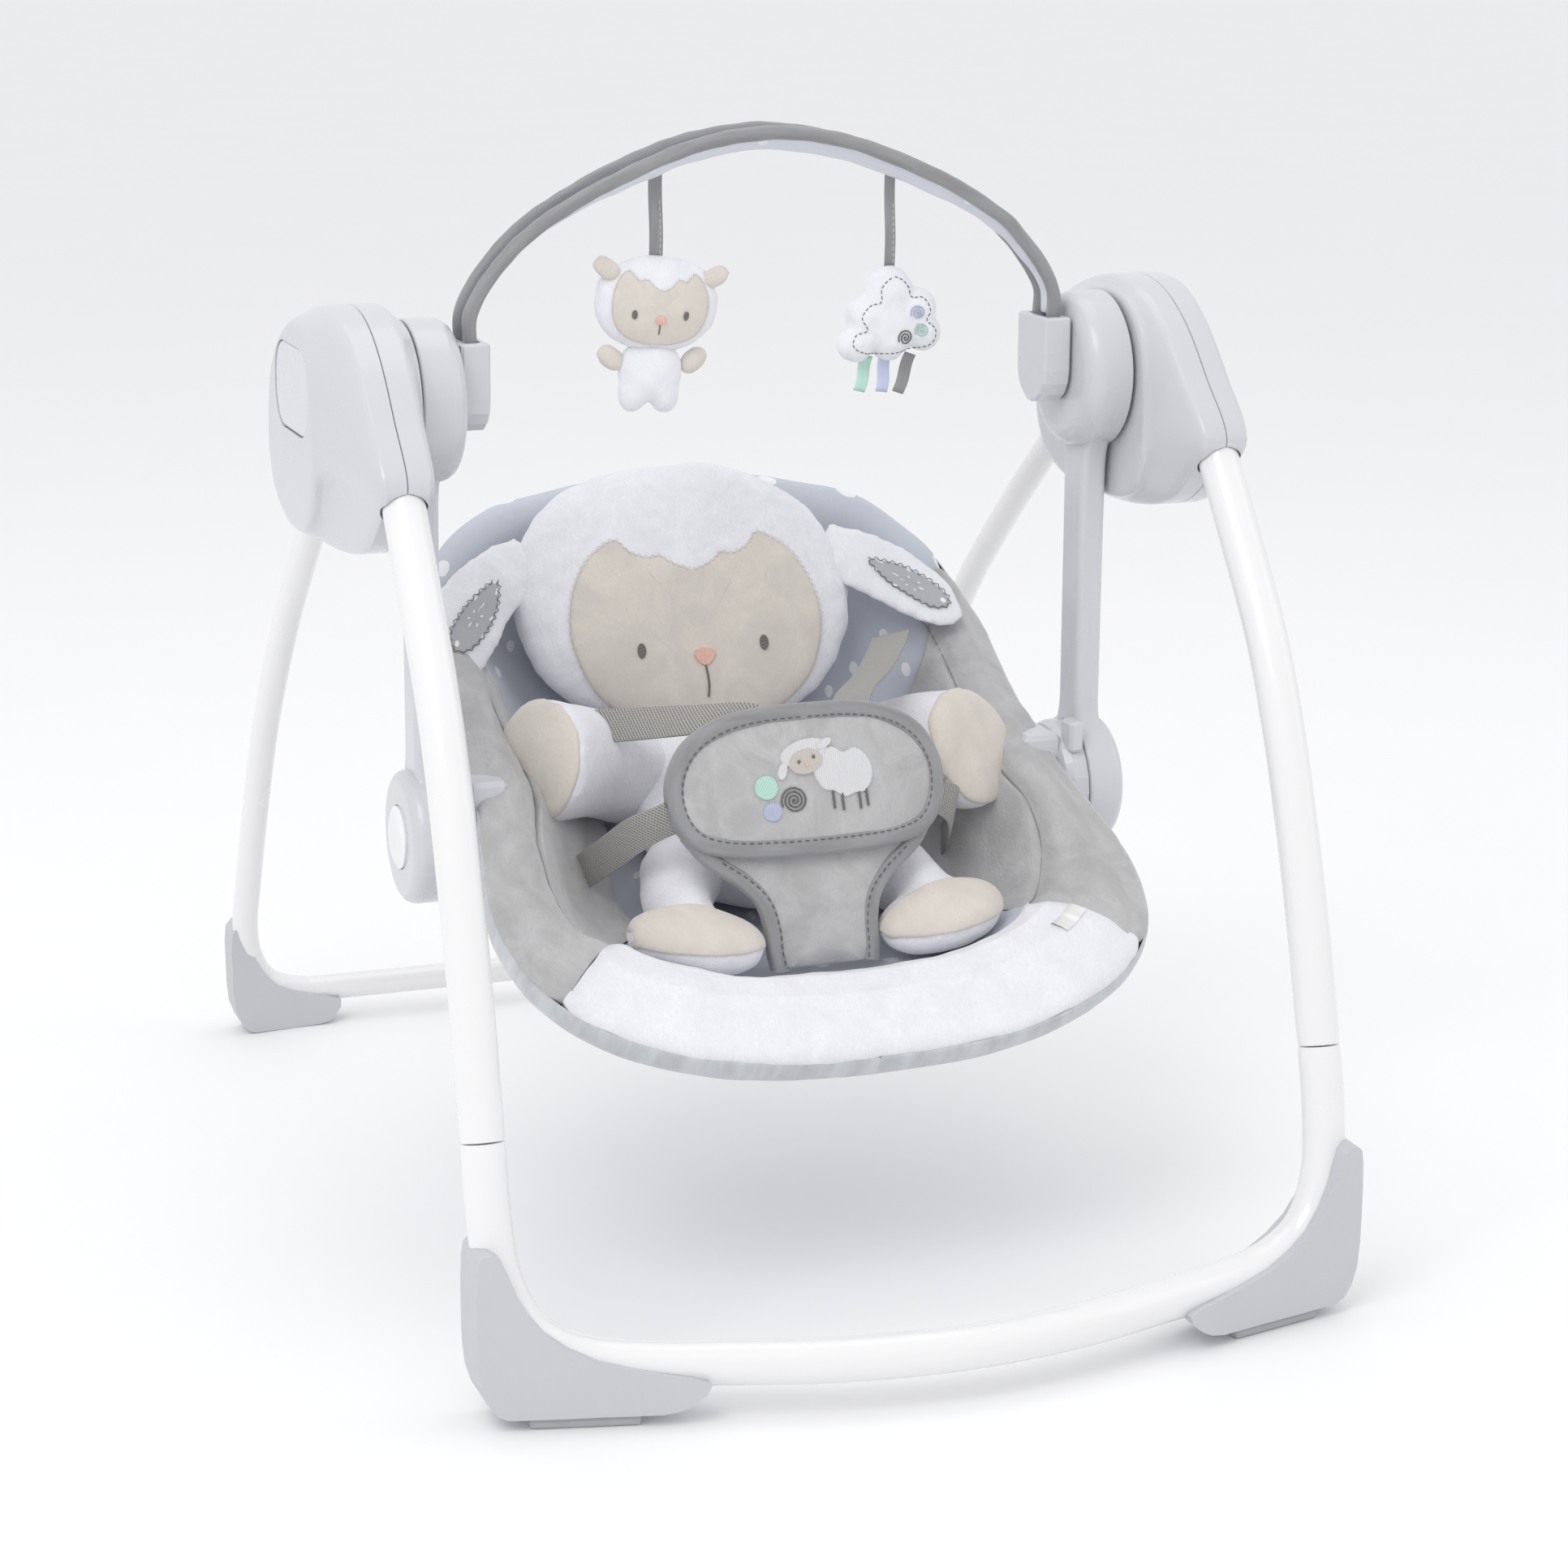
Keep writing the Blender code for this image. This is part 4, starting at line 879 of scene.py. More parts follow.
SIDE_HEIGHTS = (
    (0.0, -0.088), (0.25, -0.084), (0.45, -0.074), (0.6, -0.058), (0.72, -0.034), (0.8, -0.012),
    (0.84, 0.0005), (0.87, 0.0045), (0.91, 0.011), (0.96, 0.0135), (1.0, 0.0105)
)
FRONT_HEIGHTS = (
    (0.0, -0.088), (0.3, -0.074), (0.5, -0.055), (0.64, -0.034), (0.74, -0.014), (0.765, -0.002),
    (0.8, 0.0085), (0.88, 0.015), (0.95, 0.014), (1.0, 0.0105)
)
BACK_HEIGHTS = (
    (0.0, -0.088), (0.25, -0.083), (0.45, -0.072), (0.65, -0.052), (0.8, -0.03), (0.9, -0.008),
    (0.95, 0.0045), (1.0, 0.0105)
)
ROLL = ((0.0098, 0.001), (0.0104, 0.004), (0.0098, 0.0062), (0.0075, 0.0084), (0.004, 0.01))
BINDING_ROLL = (
    (0.01, 0.0035), (0.0114, 0.0035), (0.0124, 0.0005), (0.0128, -0.0045), (0.0122, -0.0105),
    (0.0104, -0.015), (0.007, -0.018), (0.003, -0.019)
)


def key_of(column):
    return min(column % len(RIM), len(RIM) - column % len(RIM)) / PER_KEY


def outwards(column):
    count = len(RIM)
    way = (RIM[(column + 1) % count] - RIM[(column - 1) % count]).cross(UP).normalized()
    return way if way.dot(RIM[column % count] - MIDDLE) > 0 else -way


def lug_cover(column):
    """The cover stands out further over the lugs that carry the seat's ring."""
    return 0.0045 * max(0.0, 1 - (RIM[column % len(RIM)].y / 0.055) ** 2) ** 1.5


def rolled(column, a, b):
    return RIM[column % len(RIM)] + outwards(column) * (a + lug_cover(column)) + UP * b


def seat_height(key, size):
    front, back = 1 - step_up(key, 2.4, 3.4), step_up(key, 8.8, 10.0)
    return (front * between(FRONT_HEIGHTS, size) + back * between(BACK_HEIGHTS, size)
        + (1 - front - back) * between(SIDE_HEIGHTS, size))


def seat_point(column, size, lift=0.0):
    p = RIM[column % len(RIM)] - MIDDLE
    rise = p.dot(UP) * size ** 2 + seat_height(key_of(column), size) + lift
    bulge = outwards(column) * lug_cover(column) * step_up(size, 0.86, 1.0)
    return MIDDLE + Vector((p.x * size, 0, 0)) + ALONG * p.dot(ALONG) * size + UP * rise + bulge


def wing_edge(key):
    return between(((3.0, 0.5), (7.0, 0.5), (9.4, 0.97)), key)


def wing_seam(key):
    return between(((2.75, 0.76), (5.0, 0.86), (9.0, 0.85)), key)


def panel(name, first, last, edge, seam=None, steps=56):
    """A padded panel of the cover from the rim's roll inwards, its free edges turned down into the lining."""
    rows = []
    columns = range(first, last + 1)
    for a, b in ROLL:
        rows.append([rolled(c, a - (0.003 if c in (first, last) else 0), b) for c in columns])
    for step in range(steps + 1):
        t = step / steps
        row = []
        for c in columns:
            size = 1 + (edge(key_of(c)) - 1) * t
            lift = -0.0038 if c in (first, last) or step == steps else 0.0
            if c in (first + 1, last - 1) or step == steps - 1:
                lift = -0.0008
            if seam:
                lift -= 0.0062 * math.exp(-((size - seam(key_of(c))) / 0.013) ** 2)
            row.append(seat_point(c, size, lift))
        rows.append(row)
    mesh = grid(name, rows)
    mesh = subdivided(mesh)
    return roughened(mesh, (0.0016, 0.045), (0.0006, 0.012))


def seat_cover():
    count = len(RIM)
    bolster_end, wing_end = round(BOLSTER_END * PER_KEY), round(WING_END * PER_KEY)
    lining = []
    under_wings = [1 - step_up(key_of(c), 9.2, 9.7) for c in range(count)]
    for a, b in ROLL:
        lining.append([rolled(c, a * (0.6 + 0.4 * (1 - under)), b - 0.0055 * under)
            for c, under in enumerate(under_wings)])
    for step in range(36):
        size = 1 - 0.97 * step / 35
        lining.append([seat_point(c, size, -0.0065 * under) for c, under in enumerate(under_wings)])
    mesh = roughened(grid("lining", lining, True, (False, True)), (0.0022, 0.04))
    inside = add("seat_lining", mesh, "seat", "dots", nodes=["seat_sling"])
    bolster = panel("bolster", -bolster_end, bolster_end, lambda key: 0.757)
    add("front_bolster", bolster, "seat", "white")
    wings = (("right", bolster_end, wing_end), ("left", count - wing_end, count - bolster_end))
    for word, first, last in wings:
        wing = panel("wing", first, last, wing_edge, wing_seam)
        add(f"wing_{word}", wing, "seat", "velour")
        line = [seat_point(c, wing_seam(key_of(c)), -0.005) for c in range(first, last + 1)]
        add(f"wing_seam_{word}", thread("seam", line, 0.0006), "seat", "satin")
    rows = [[rolled(c, a, b) for c in range(count + 1)] for a, b in BINDING_ROLL]
    edge = subdivided(roughened(grid("edge", rows), (0.0007, 0.02)))
    band = add("cover_binding", edge, "seat", "pale_satin")
    rows = [[rolled(c, *BINDING_ROLL[-1]) for c in range(count)]]
    for step in range(24):
        size = 0.965 - 0.935 * step / 23
        row = []
        for c in range(count):
            p = RIM[c] - MIDDLE
            rise = p.dot(UP) * size ** 2 - 0.101 * (1 - size ** 4) - 0.018 * step_up(size, 0.75, 0.97)
            row.append(MIDDLE + Vector((p.x * size, 0, 0)) + ALONG * p.dot(ALONG) * size + UP * rise)
        rows.append(row)
    mesh = roughened(grid("underside", rows, True, (False, True), flip=True), (0.003, 0.05))
    under = add("seat_underside", mesh, "seat", "under")
    tag_rows = ((0.892, -0.0016), (0.89, 0.0006), (0.87, 0.001), (0.85, 0.0008), (0.848, -0.0016))
    rows = [[seat_point(c, size, 0.0012 + lift) for c in range(bolster_end - 5, bolster_end)]
        for size, lift in tag_rows]
    add("blank_tag", grid("tag", rows), "seat", "tag")


# ---- plush lamb on the seat ----

def joined(*meshes):
    bm = bmesh.new()
    for mesh in meshes:
        bm.from_mesh(mesh)
    return mesh_from("joined", bm, outwards=False)


def blob(centre, radii, turn=None, power=2.0, columns=40, rings=20):
    return grid("blob", ellipsoid(centre, radii, turn, columns, rings, power), True, (True, True), sharp=180)


def both_sides(half):
    return list(half) + [(-x, z) for x, z in half[-2:0:-1]]


def oval(centre, half_width, half_height, steps=28, turn=0.0):
    made = []
    for i in range(steps):
        a, b = half_width * math.cos(TAU * i / steps), half_height * math.sin(TAU * i / steps)
        made.append((centre[0] + a * math.cos(turn) - b * math.sin(turn),
            centre[1] + a * math.sin(turn) + b * math.cos(turn)))
    return made


def facing(centre, normal, upright=(0, 0, 1)):
    """A placing matrix whose -y looks along the normal and whose z is as near upright as it can be."""
    y = -Vector(normal).normalized()
    x = y.cross(Vector(upright)).normalized()
    return Matrix.Translation(centre) @ Matrix((x, y, x.cross(y))).transposed().to_4x4()


def edge_stitches(name, skin, outline, body, look, length=0.0021, zigzag=0.0008, radius=0.00035, lift=0.0016):
    """Zigzag stitches that follow a closed outline on a skin."""
    points = [skin.at(x, z, lift) for x, z in list(outline) + [outline[0]]]
    normal = (skin.place.to_3x3() @ Vector((0, -1, 0))).normalized()
    side = [t.cross(normal).normalized() for t, _, _ in frames_along(points)]
    add(name, stitches(name, points, length, 0.0002, radius, zigzag, side), body, look)


HEAD = Matrix.Translation((-0.011, 0.1214, 0.3656)) @ Matrix.Rotation(math.radians(-28), 4, "X")
FACE = (
    (0.0, 0.014), (0.01, 0.017), (0.017, 0.0215), (0.0215, 0.0255), (0.029, 0.024), (0.0375, 0.027),
    (0.0435, 0.0315), (0.0485, 0.038), (0.059, 0.0345), (0.0705, 0.025), (0.08, 0.0095), (0.0855, -0.01),
    (0.086, -0.029), (0.0805, -0.048), (0.07, -0.064), (0.053, -0.0765), (0.029, -0.085), (0.0, -0.088)
)
NOSE = (
    (0.0, -0.0385), (0.0055, -0.0395), (0.0072, -0.043), (0.0045, -0.048), (0.0, -0.0502), (-0.0045, -0.048),
    (-0.0072, -0.043), (-0.0055, -0.0395)
)
EAR_LEAF = (
    (0.0, 0.03), (0.0085, 0.014), (0.0115, -0.006), (0.0085, -0.022), (0.0, -0.027), (-0.0085, -0.018),
    (-0.0095, 0.0), (-0.006, 0.017)
)
EARS = {"left": ((-0.108, 0.137, 0.402), (-0.153, 0.12, 0.374), (-0.176, 0.086, 0.332)),
    "right": ((0.09, 0.137, 0.398), (0.134, 0.112, 0.376), (0.167, 0.076, 0.35))}
EAR_WIDTHS = ((0.0, 0.019), (0.2, 0.024), (0.5, 0.0275), (0.75, 0.0255), (0.9, 0.019), (1.0, 0.008))


def lamb_head():
    mesh = blob((0, 0, 0.004), (0.1165, 0.03, 0.0925), power=2.25)
    mesh.transform(HEAD)
    mesh = roughened(stuffed(mesh, 0.0055, 4, 0.007), (0.0026, 0.05), (0.0009, 0.01))
    skin = Skin(mesh, HEAD)
    add("plush_head", mesh, "seat", "white", nodes=["lamb_head"])
    outline = rounded(both_sides(FACE))
    applique("face_patch", skin, outline, (0, -0.03), 0.0015, "seat", "beige")
    edge_stitches("face_stitches", skin, outline, "seat", "cream_thread")
    for side, word in SIDES:
        eye = oval((side * 0.042, -0.0375), 0.003, 0.005, 20)
        applique(f"eye_{word}", skin, eye, (side * 0.042, -0.0375), 0.0026, "seat", "eye", 0.0012)
    applique("nose", skin, rounded(NOSE), (0, -0.044), 0.003, "seat", "pink", 0.0012)
    mouth = [skin.at(0.001 * math.sin(3 * t), -0.05 - 0.0195 * t, 0.0019)
        for t in [i / 12 for i in range(13)]]
    add("mouth", thread("mouth", mouth, 0.00075), "seat", "eye")
    for side, word in SIDES:
        ear(side, word)


def ear(side, word):
    base, middle, tip = (Vector(p) for p in EARS[word])
    path = smooth([base, middle, tip], 8)
    normal = Vector((side * 0.25, -0.8, 0.5)).normalized()
    across = [(path[min(i + 1, len(path) - 1)] - path[max(i - 1, 0)]).cross(normal) for i in range(len(path))]
    mesh = sweep("ear", path, circle(1.0, 28, 0.26), across, scale=lambda t: between(EAR_WIDTHS, t),
        sharp=180)
    mesh = roughened(stuffed(mesh, 0.004, 3, 0.0035), (0.0008, 0.012))
    add(f"ear_{word}", mesh, "seat", "white")
    place = facing(middle.lerp(tip, 0.12), normal, path[0] - path[-1])
    skin = Skin(mesh_at(mesh), place)
    leaf = [(x - side * 0.004, z - 0.004) for x, z in rounded(EAR_LEAF, 5)]
    applique(f"ear_lining_{word}", skin, leaf, (-side * 0.004, -0.004), 0.001, "seat", "dots_grey")
    edge_stitches(f"ear_stitches_{word}", skin, leaf, "seat", "dark_thread", 0.0026, 0.0011, 0.0004)


def mesh_at(mesh):
    """A copy of a mesh that add() has already moved, back where it was."""
    made = mesh.copy()
    made.transform(Matrix.Translation((0, -SWING_Y, 0)))
    return made


# Each arm's shoulder, the middle of its paw, and the way that the paw faces
ARMS = {"left": ((-0.066, 0.05, 0.268), (-0.146, 0.006, 0.298), (-0.86, -0.46, 0.22)),
    "right": ((0.088, 0.066, 0.262), (0.136, -0.024, 0.292), (0.44, -0.83, 0.34))}
ARM_WIDTHS = ((0.0, 0.031), (0.4, 0.036), (0.8, 0.0395), (0.95, 0.0388), (1.0, 0.0352))


def lamb_body():
    recline = Matrix.Rotation(TILT, 4, "X")
    torso = blob((-0.004, 0.022, 0.252), (0.074, 0.076, 0.034), recline, 2.2)
    mesh = roughened(stuffed(torso, 0.005, 4, 0.006), (0.002, 0.03))
    add("plush_body", mesh, "seat", "white", nodes=["lamb_body"])
    for side, word in SIDES:
        shoulder, pad, normal = (Vector(p) for p in ARMS[word])
        normal.normalize()
        elbow = shoulder.lerp(pad, 0.5) + Vector((0, 0.004, 0.003))
        path = smooth([shoulder, elbow, pad - normal * 0.012, pad], 6)
        arm = sweep("arm", path, circle(1.0, 36), scale=lambda t: between(ARM_WIDTHS, t), sharp=180)
        arm = roughened(stuffed(arm, 0.005, 4, 0.005), (0.0015, 0.03))
        add(f"plush_arm_{word}", arm, "seat", "white", nodes=[f"lamb_arm_{word}"])
        place = facing(pad, normal)
        skin = Skin(mesh_at(arm), place, 0.08)
        applique(f"paw_{word}", skin, oval((0, 0), 0.0362, 0.0375, 40), (0, 0), 0.0022, "seat", "beige")
        foot = Vector((side * 0.08 - 0.001, -0.108, 0.2075))
        hip = Vector((side * 0.06, -0.02, 0.226))
        turn = Matrix.Rotation(-side * 0.16, 4, "Y") @ Matrix.Rotation(side * 0.2, 4, "Z")
        sole = blob(foot, (0.044, 0.026, 0.0175), turn @ Matrix.Rotation(0.25, 4, "X"), 2.2)
        knee = hip.lerp(foot, 0.5) + Vector((side * 0.006, 0, 0.001))
        path = smooth([hip, knee, foot], 6)
        thigh = sweep("thigh", path, circle(0.0262, 28), scale=lambda t: 1.05 - 0.35 * t, sharp=180)
        leg = joined(sole, thigh)
        leg = roughened(stuffed(leg, 0.0045, 4, 0.005), (0.0014, 0.03))
        add(f"plush_leg_{word}", leg, "seat", "white", nodes=[f"lamb_foot_{word}"])
        place = facing(foot, (side * 0.1, -0.72, 0.69))
        skin = Skin(mesh_at(leg), place, 0.08)
        outline = oval((0, 0), 0.0425, 0.018, 40, side * 0.1)
        applique(f"sole_{word}", skin, outline, (0, 0), 0.002, "seat", "beige")


# ---- harness ----

PAD = Matrix.Translation((0, -0.1, 0.2515)) @ Matrix.Rotation(math.radians(-17), 4, "X")
PAD_BACK = PAD.to_3x3() @ Vector((0, 1, 0))
PAD_OVAL = (
    (0.0, 0.093), (0.03, 0.0922), (0.056, 0.087), (0.076, 0.075), (0.0865, 0.058), (0.089, 0.042),
    (0.085, 0.024), (0.074, 0.011), (0.054, 0.0045), (0.028, 0.0025), (0.0, 0.002)
)
TONGUE = (
    (0.082, 0.02), (0.07, 0.004), (0.052, -0.01), (0.04, -0.024), (0.0355, -0.04), (0.035, -0.055),
    (0.0335, -0.066)
)

PUFF = (
    (1.0, 0.0), (1.0, 0.45), (0.985, 0.75), (0.95, 0.95), (0.88, 1.05), (0.75, 1.15), (0.58, 1.22),
    (0.4, 1.26), (0.2, 1.28), (0.04, 1.28)
)


def superellipse(half_a, half_b, power=3.2, sides=24):
    made = []
    for i in range(sides):
        a, b = math.cos(TAU * i / sides), math.sin(TAU * i / sides)
        made.append((half_a * math.copysign(abs(a) ** (2 / power), a),
            half_b * math.copysign(abs(b) ** (2 / power), b)))
    return made


def on_pad(x, y, z):
    """A point given in the pad's own axes. The pad bends back a little towards its sides."""
    return PAD @ Vector((x, y + 1.35 * x * x, z))


def pad_mesh(name, outline, thick, puff):
    """A quilted flat piece: thickest over its middle and pinched at the edge."""
    centre_z = sum(z for _, z in outline) / len(outline)
    rows = []
    for size, rise in PUFF:
        rows.append([on_pad(x * size, -thick / 2 - puff * rise, centre_z + (z - centre_z) * size)
            for x, z in outline])
    back = [on_pad(x, thick / 2, z) for x, z in outline]
    mesh = grid(name, [back] + rows, True, (True, True), sharp=180)
    mesh = subdivided(mesh)
    return roughened(mesh, (0.001, 0.03), (0.0004, 0.008))


def harness():
    outline = rounded(both_sides(PAD_OVAL), 5)
    mesh = pad_mesh("oval", outline, 0.0075, 0.0022)
    skin = Skin(mesh, PAD)
    add("harness_pad", mesh, "seat", "velour", nodes=["crotch_pad"])
    band = superellipse(0.0068, 0.006)
    ring = inset([Vector(p) for p in outline], 0.0047)
    path = [on_pad(p.x, -0.001, p.y) for p in ring]
    across = [PAD_BACK] * len(path)
    edge = sweep("pad_binding", path, band, across, closed=True)
    skin = Skin(joined(mesh_at(mesh), edge), PAD)
    add("pad_binding", edge, "seat", "satin")
    row = [skin.at(p.x, p.y, 0.0005) for p in inset([Vector(p) for p in outline], 0.0078)]
    add("pad_stitches", stitches("row", row + row[:1], 0.0028, 0.0022, 0.00045), "seat", "dark_thread")
    side = smooth([(x, z) for x, z in TONGUE], 5)
    closed = [tuple(p) for p in side] + [(-p[0], p[1]) for p in side[::-1]]
    rows = []
    for y, width in ((0.0065, 1.0), (0.0045, 1.0), (-0.001, 0.985), (-0.0026, 0.95)):
        rows.append([on_pad(x * width, y, z) for x, z in closed])
    mesh = subdivided(grid("tongue", rows, True, (True, True), sharp=60))
    mesh = roughened(mesh, (0.0006, 0.02))
    add("harness_tongue", mesh, "seat", "velour")
    for way, word in SIDES:
        path = [on_pad(way * (x - 0.0038), 0.0022, z) for x, z in side]
        across = [PAD_BACK] * len(path)
        edge = sweep("band", path, superellipse(0.0056, 0.005), across)
        skin = Skin(joined(mesh_at(mesh), edge), PAD)
        add(f"tongue_binding_{word}", edge, "seat", "satin")
        row = [skin.at(way * (x - 0.0068), z, 0.0005) for x, z in side[6:]]
        add(f"tongue_stitches_{word}", stitches("row", row, 0.0028, 0.0022, 0.00045), "seat", "dark_thread")
    straps()
    return Skin(mesh_at(bpy.data.objects["harness_pad"].data), PAD)


def strap(name, points, across, width=0.022, nodes=()):
    path = smooth(points, 8)
    spread = smooth(across, 8)
    mesh = sweep(name, path, slab(width, 0.002), [Vector(v) for v in spread], sharp=180)
    add(name, mesh, "seat", "webbing", nodes=nodes)


def straps():
    for side, word in SIDES:
        strap(f"waist_webbing_{word}", [(side * 0.126, 0.014, 0.214), (side * 0.117, -0.03, 0.24),
            (side * 0.104, -0.066, 0.266), (side * 0.086, -0.082, 0.279)],
            [(0, -0.35, 0.94), (0, -0.4, 0.92), (0, -0.33, 0.94), (0, -0.29, 0.95)],
            nodes=[f"waist_strap_{word}"])
    strap("shoulder_webbing_left", [(-0.124, 0.05, 0.3), (-0.112, 0.026, 0.311), (-0.09, 0.0, 0.3175),
        (-0.06, -0.036, 0.3265), (-0.03, -0.06, 0.331), (-0.018, -0.074, 0.32)],
        [(0.2, 0.4, 0.8), (0.15, 0.5, 0.8), (0.1, 0.6, 0.7), (0, 0.8, 0.5), (0.1, 0.7, 0.6), (0.3, 0.3, 0.9)])
    strap("shoulder_webbing_right", [(0.116, 0.07, 0.346), (0.1, 0.04, 0.343), (0.074, -0.002, 0.339),
        (0.048, -0.04, 0.338), (0.034, -0.064, 0.332), (0.03, -0.076, 0.318)], [(0.8, -0.5, 0.25)] * 6, 0.026)


SHEEP_BODY = (
    (0.004, 0.062), (0.013, 0.066), (0.021, 0.062), (0.029, 0.0645), (0.036, 0.059), (0.0395, 0.052),
    (0.0385, 0.043), (0.0335, 0.037), (0.027, 0.0365), (0.02, 0.0345), (0.013, 0.0385), (0.0065, 0.04),
    (0.002, 0.047), (0.0, 0.055)
)


def embroidered_lamb(skin):
    """The generic little sheep, two filled spots and a spiral on the harness pad."""
    applique("sheep_body", skin, rounded(SHEEP_BODY, 3), (0.02, 0.05), 0.0013, "seat", "white_stitch")
    for x, z in ((0.012, 0.0335), (0.018, 0.032), (0.0295, 0.032), (0.0345, 0.0335)):
        points = [skin.at(x + 0.0004 * t, z + 0.005 - 0.0105 * t, 0.0008) for t in (0, 0.5, 1)]
        add(f"sheep_leg_{round(x * 1e4)}", thread("leg", points, 0.0008), "seat", "eye")
    hair = oval((-0.0045, 0.0635), 0.0155, 0.008, 24, 0.25)
    applique("sheep_hair", skin, hair, (-0.0045, 0.0635), 0.0016, "seat", "white_stitch")
    face = oval((-0.004, 0.058), 0.011, 0.0078, 24, 0.2)
    applique("sheep_face", skin, face, (-0.004, 0.058), 0.0021, "seat", "beige_stitch")
    for number, (x, z, turn) in enumerate(((0.0085, 0.068, 0.5), (-0.019, 0.053, 1.25))):
        outline = oval((x, z), 0.0055, 0.0026, 16, turn)
        applique(f"sheep_ear_{number}", skin, outline, (x, z), 0.0022, "seat", "white_stitch")
    marks = ((-0.0082, 0.058, 0.001, "eye"), (0.001, 0.0605, 0.001, "eye"), (-0.0032, 0.056, 0.0012, "pink"))
    for number, (x, z, size, look) in enumerate(marks):
        applique(f"sheep_mark_{number}", skin, oval((x, z), size, size * 1.3, 10), (x, z), 0.0027, "seat",
            look)
    spots = ((-0.03, 0.044, 0.0075, "mint"), (-0.0275, 0.029, 0.0058, "lavender"))
    for number, (x, z, size, look) in enumerate(spots):
        applique(f"spot_{number}", skin, oval((x, z), size, size, 24), (x, z), 0.0011, "seat", look)
    add("spiral_dark", thread("spiral", spiral(skin, (-0.013, 0.035), 0.0085, 3.6, 0.0005), 0.00062, 6),
        "seat", "eye")


# ---- toy bar and toys ----

ARCH = (
    (0.1895, 0.536), (0.1895, 0.548), (0.1905, 0.565), (0.1895, 0.581), (0.178, 0.601), (0.156, 0.625),
    (0.125, 0.645), (0.092, 0.661), (0.048, 0.677), (0.0, 0.6835)
)
BAR_HALF_DEPTH = 0.0105
TOY_LAMB, TOY_CLOUD = Vector((-0.07, 0, 0.581)), Vector((0.083, 0, 0.5665))


def arch(way, start=0):
    """The toy bar's line: way is -1 for its front wire, 1 for its rear one and 0 between them."""
    points = smooth(both_halves([(x, 0, z) for x, z in ARCH[start:]]), 8)
    for point in points:
        point.y = way * (BAR_HALF_DEPTH + 0.005 * step_up(point.z, 0.585, 0.67))
    return points


def toy_bar():
    for way, word, nodes in ((-1, "front", ["toy_bar_frame"]), (1, "rear", [])):
        section = [(0.004 * math.cos(a), 0.0045 * math.sin(a)) for a in [TAU * i / 20 for i in range(20)]]
        mesh = subdivided(sweep("edge", arch(way), section, (0, 1, 0)))
        mesh = roughened(mesh, (0.0006, 0.012))
        add(f"bar_binding_{word}", mesh, "toy_bar", "satin", nodes=nodes)
    middle, wire = arch(0, 2), arch(1, 2)
    rows = []
    for i, (_, _, up) in enumerate(frames_along(middle, (0, 1, 0))):
        inwards = up if up.dot(Vector((0, 0, 0.53)) - middle[i]) > 0 else -up
        t = i / (len(middle) - 1)
        sag = 0.0035 + 0.0095 * math.sin(math.pi * t) ** 1.5
        rows.append([middle[i] + Vector((0, wire[i].y * w, 0)) + inwards * (sag * (1 - w * w) - 0.001)
            for w in [k / 8 - 1 for k in range(17)]])
    mesh = roughened(grid("strip", rows), (0.0012, 0.02))
    strip = add("bar_fabric", mesh, "toy_bar", "dots_pale", nodes=["toy_bar_sleeve"])


def toy_ribbon(name, top, bottom, body, look, width, nodes=(), stitch=None, thick=0.0013):
    path = [Vector(top).lerp(Vector(bottom), i / 8) + Vector((0, 0.0012 * math.sin(i * 0.8), 0))
        for i in range(9)]
    add(name, sweep(name, path, slab(width, thick), (1, 0, 0), sharp=180), body, look, nodes=nodes)
    if stitch:
        row = [p + Vector((width * 0.28, -thick / 2 - 0.0001, 0)) for p in path[3:]]
        add(f"{name}_stitches", stitches("row", row, 0.0022, 0.0016, 0.00035), body, stitch)


TOY_FACE = (
    (0.0, 0.0085), (0.006, 0.0115), (0.01, 0.0155), (0.016, 0.014), (0.0205, 0.019), (0.0265, 0.014),
    (0.03, 0.004), (0.0295, -0.008), (0.0235, -0.018), (0.012, -0.0235), (0.0, -0.0245), (-0.012, -0.0235),
    (-0.024, -0.018), (-0.03, -0.008), (-0.0305, 0.004), (-0.027, 0.015), (-0.0205, 0.02), (-0.0165, 0.0145),
    (-0.01, 0.015), (-0.006, 0.011)
)


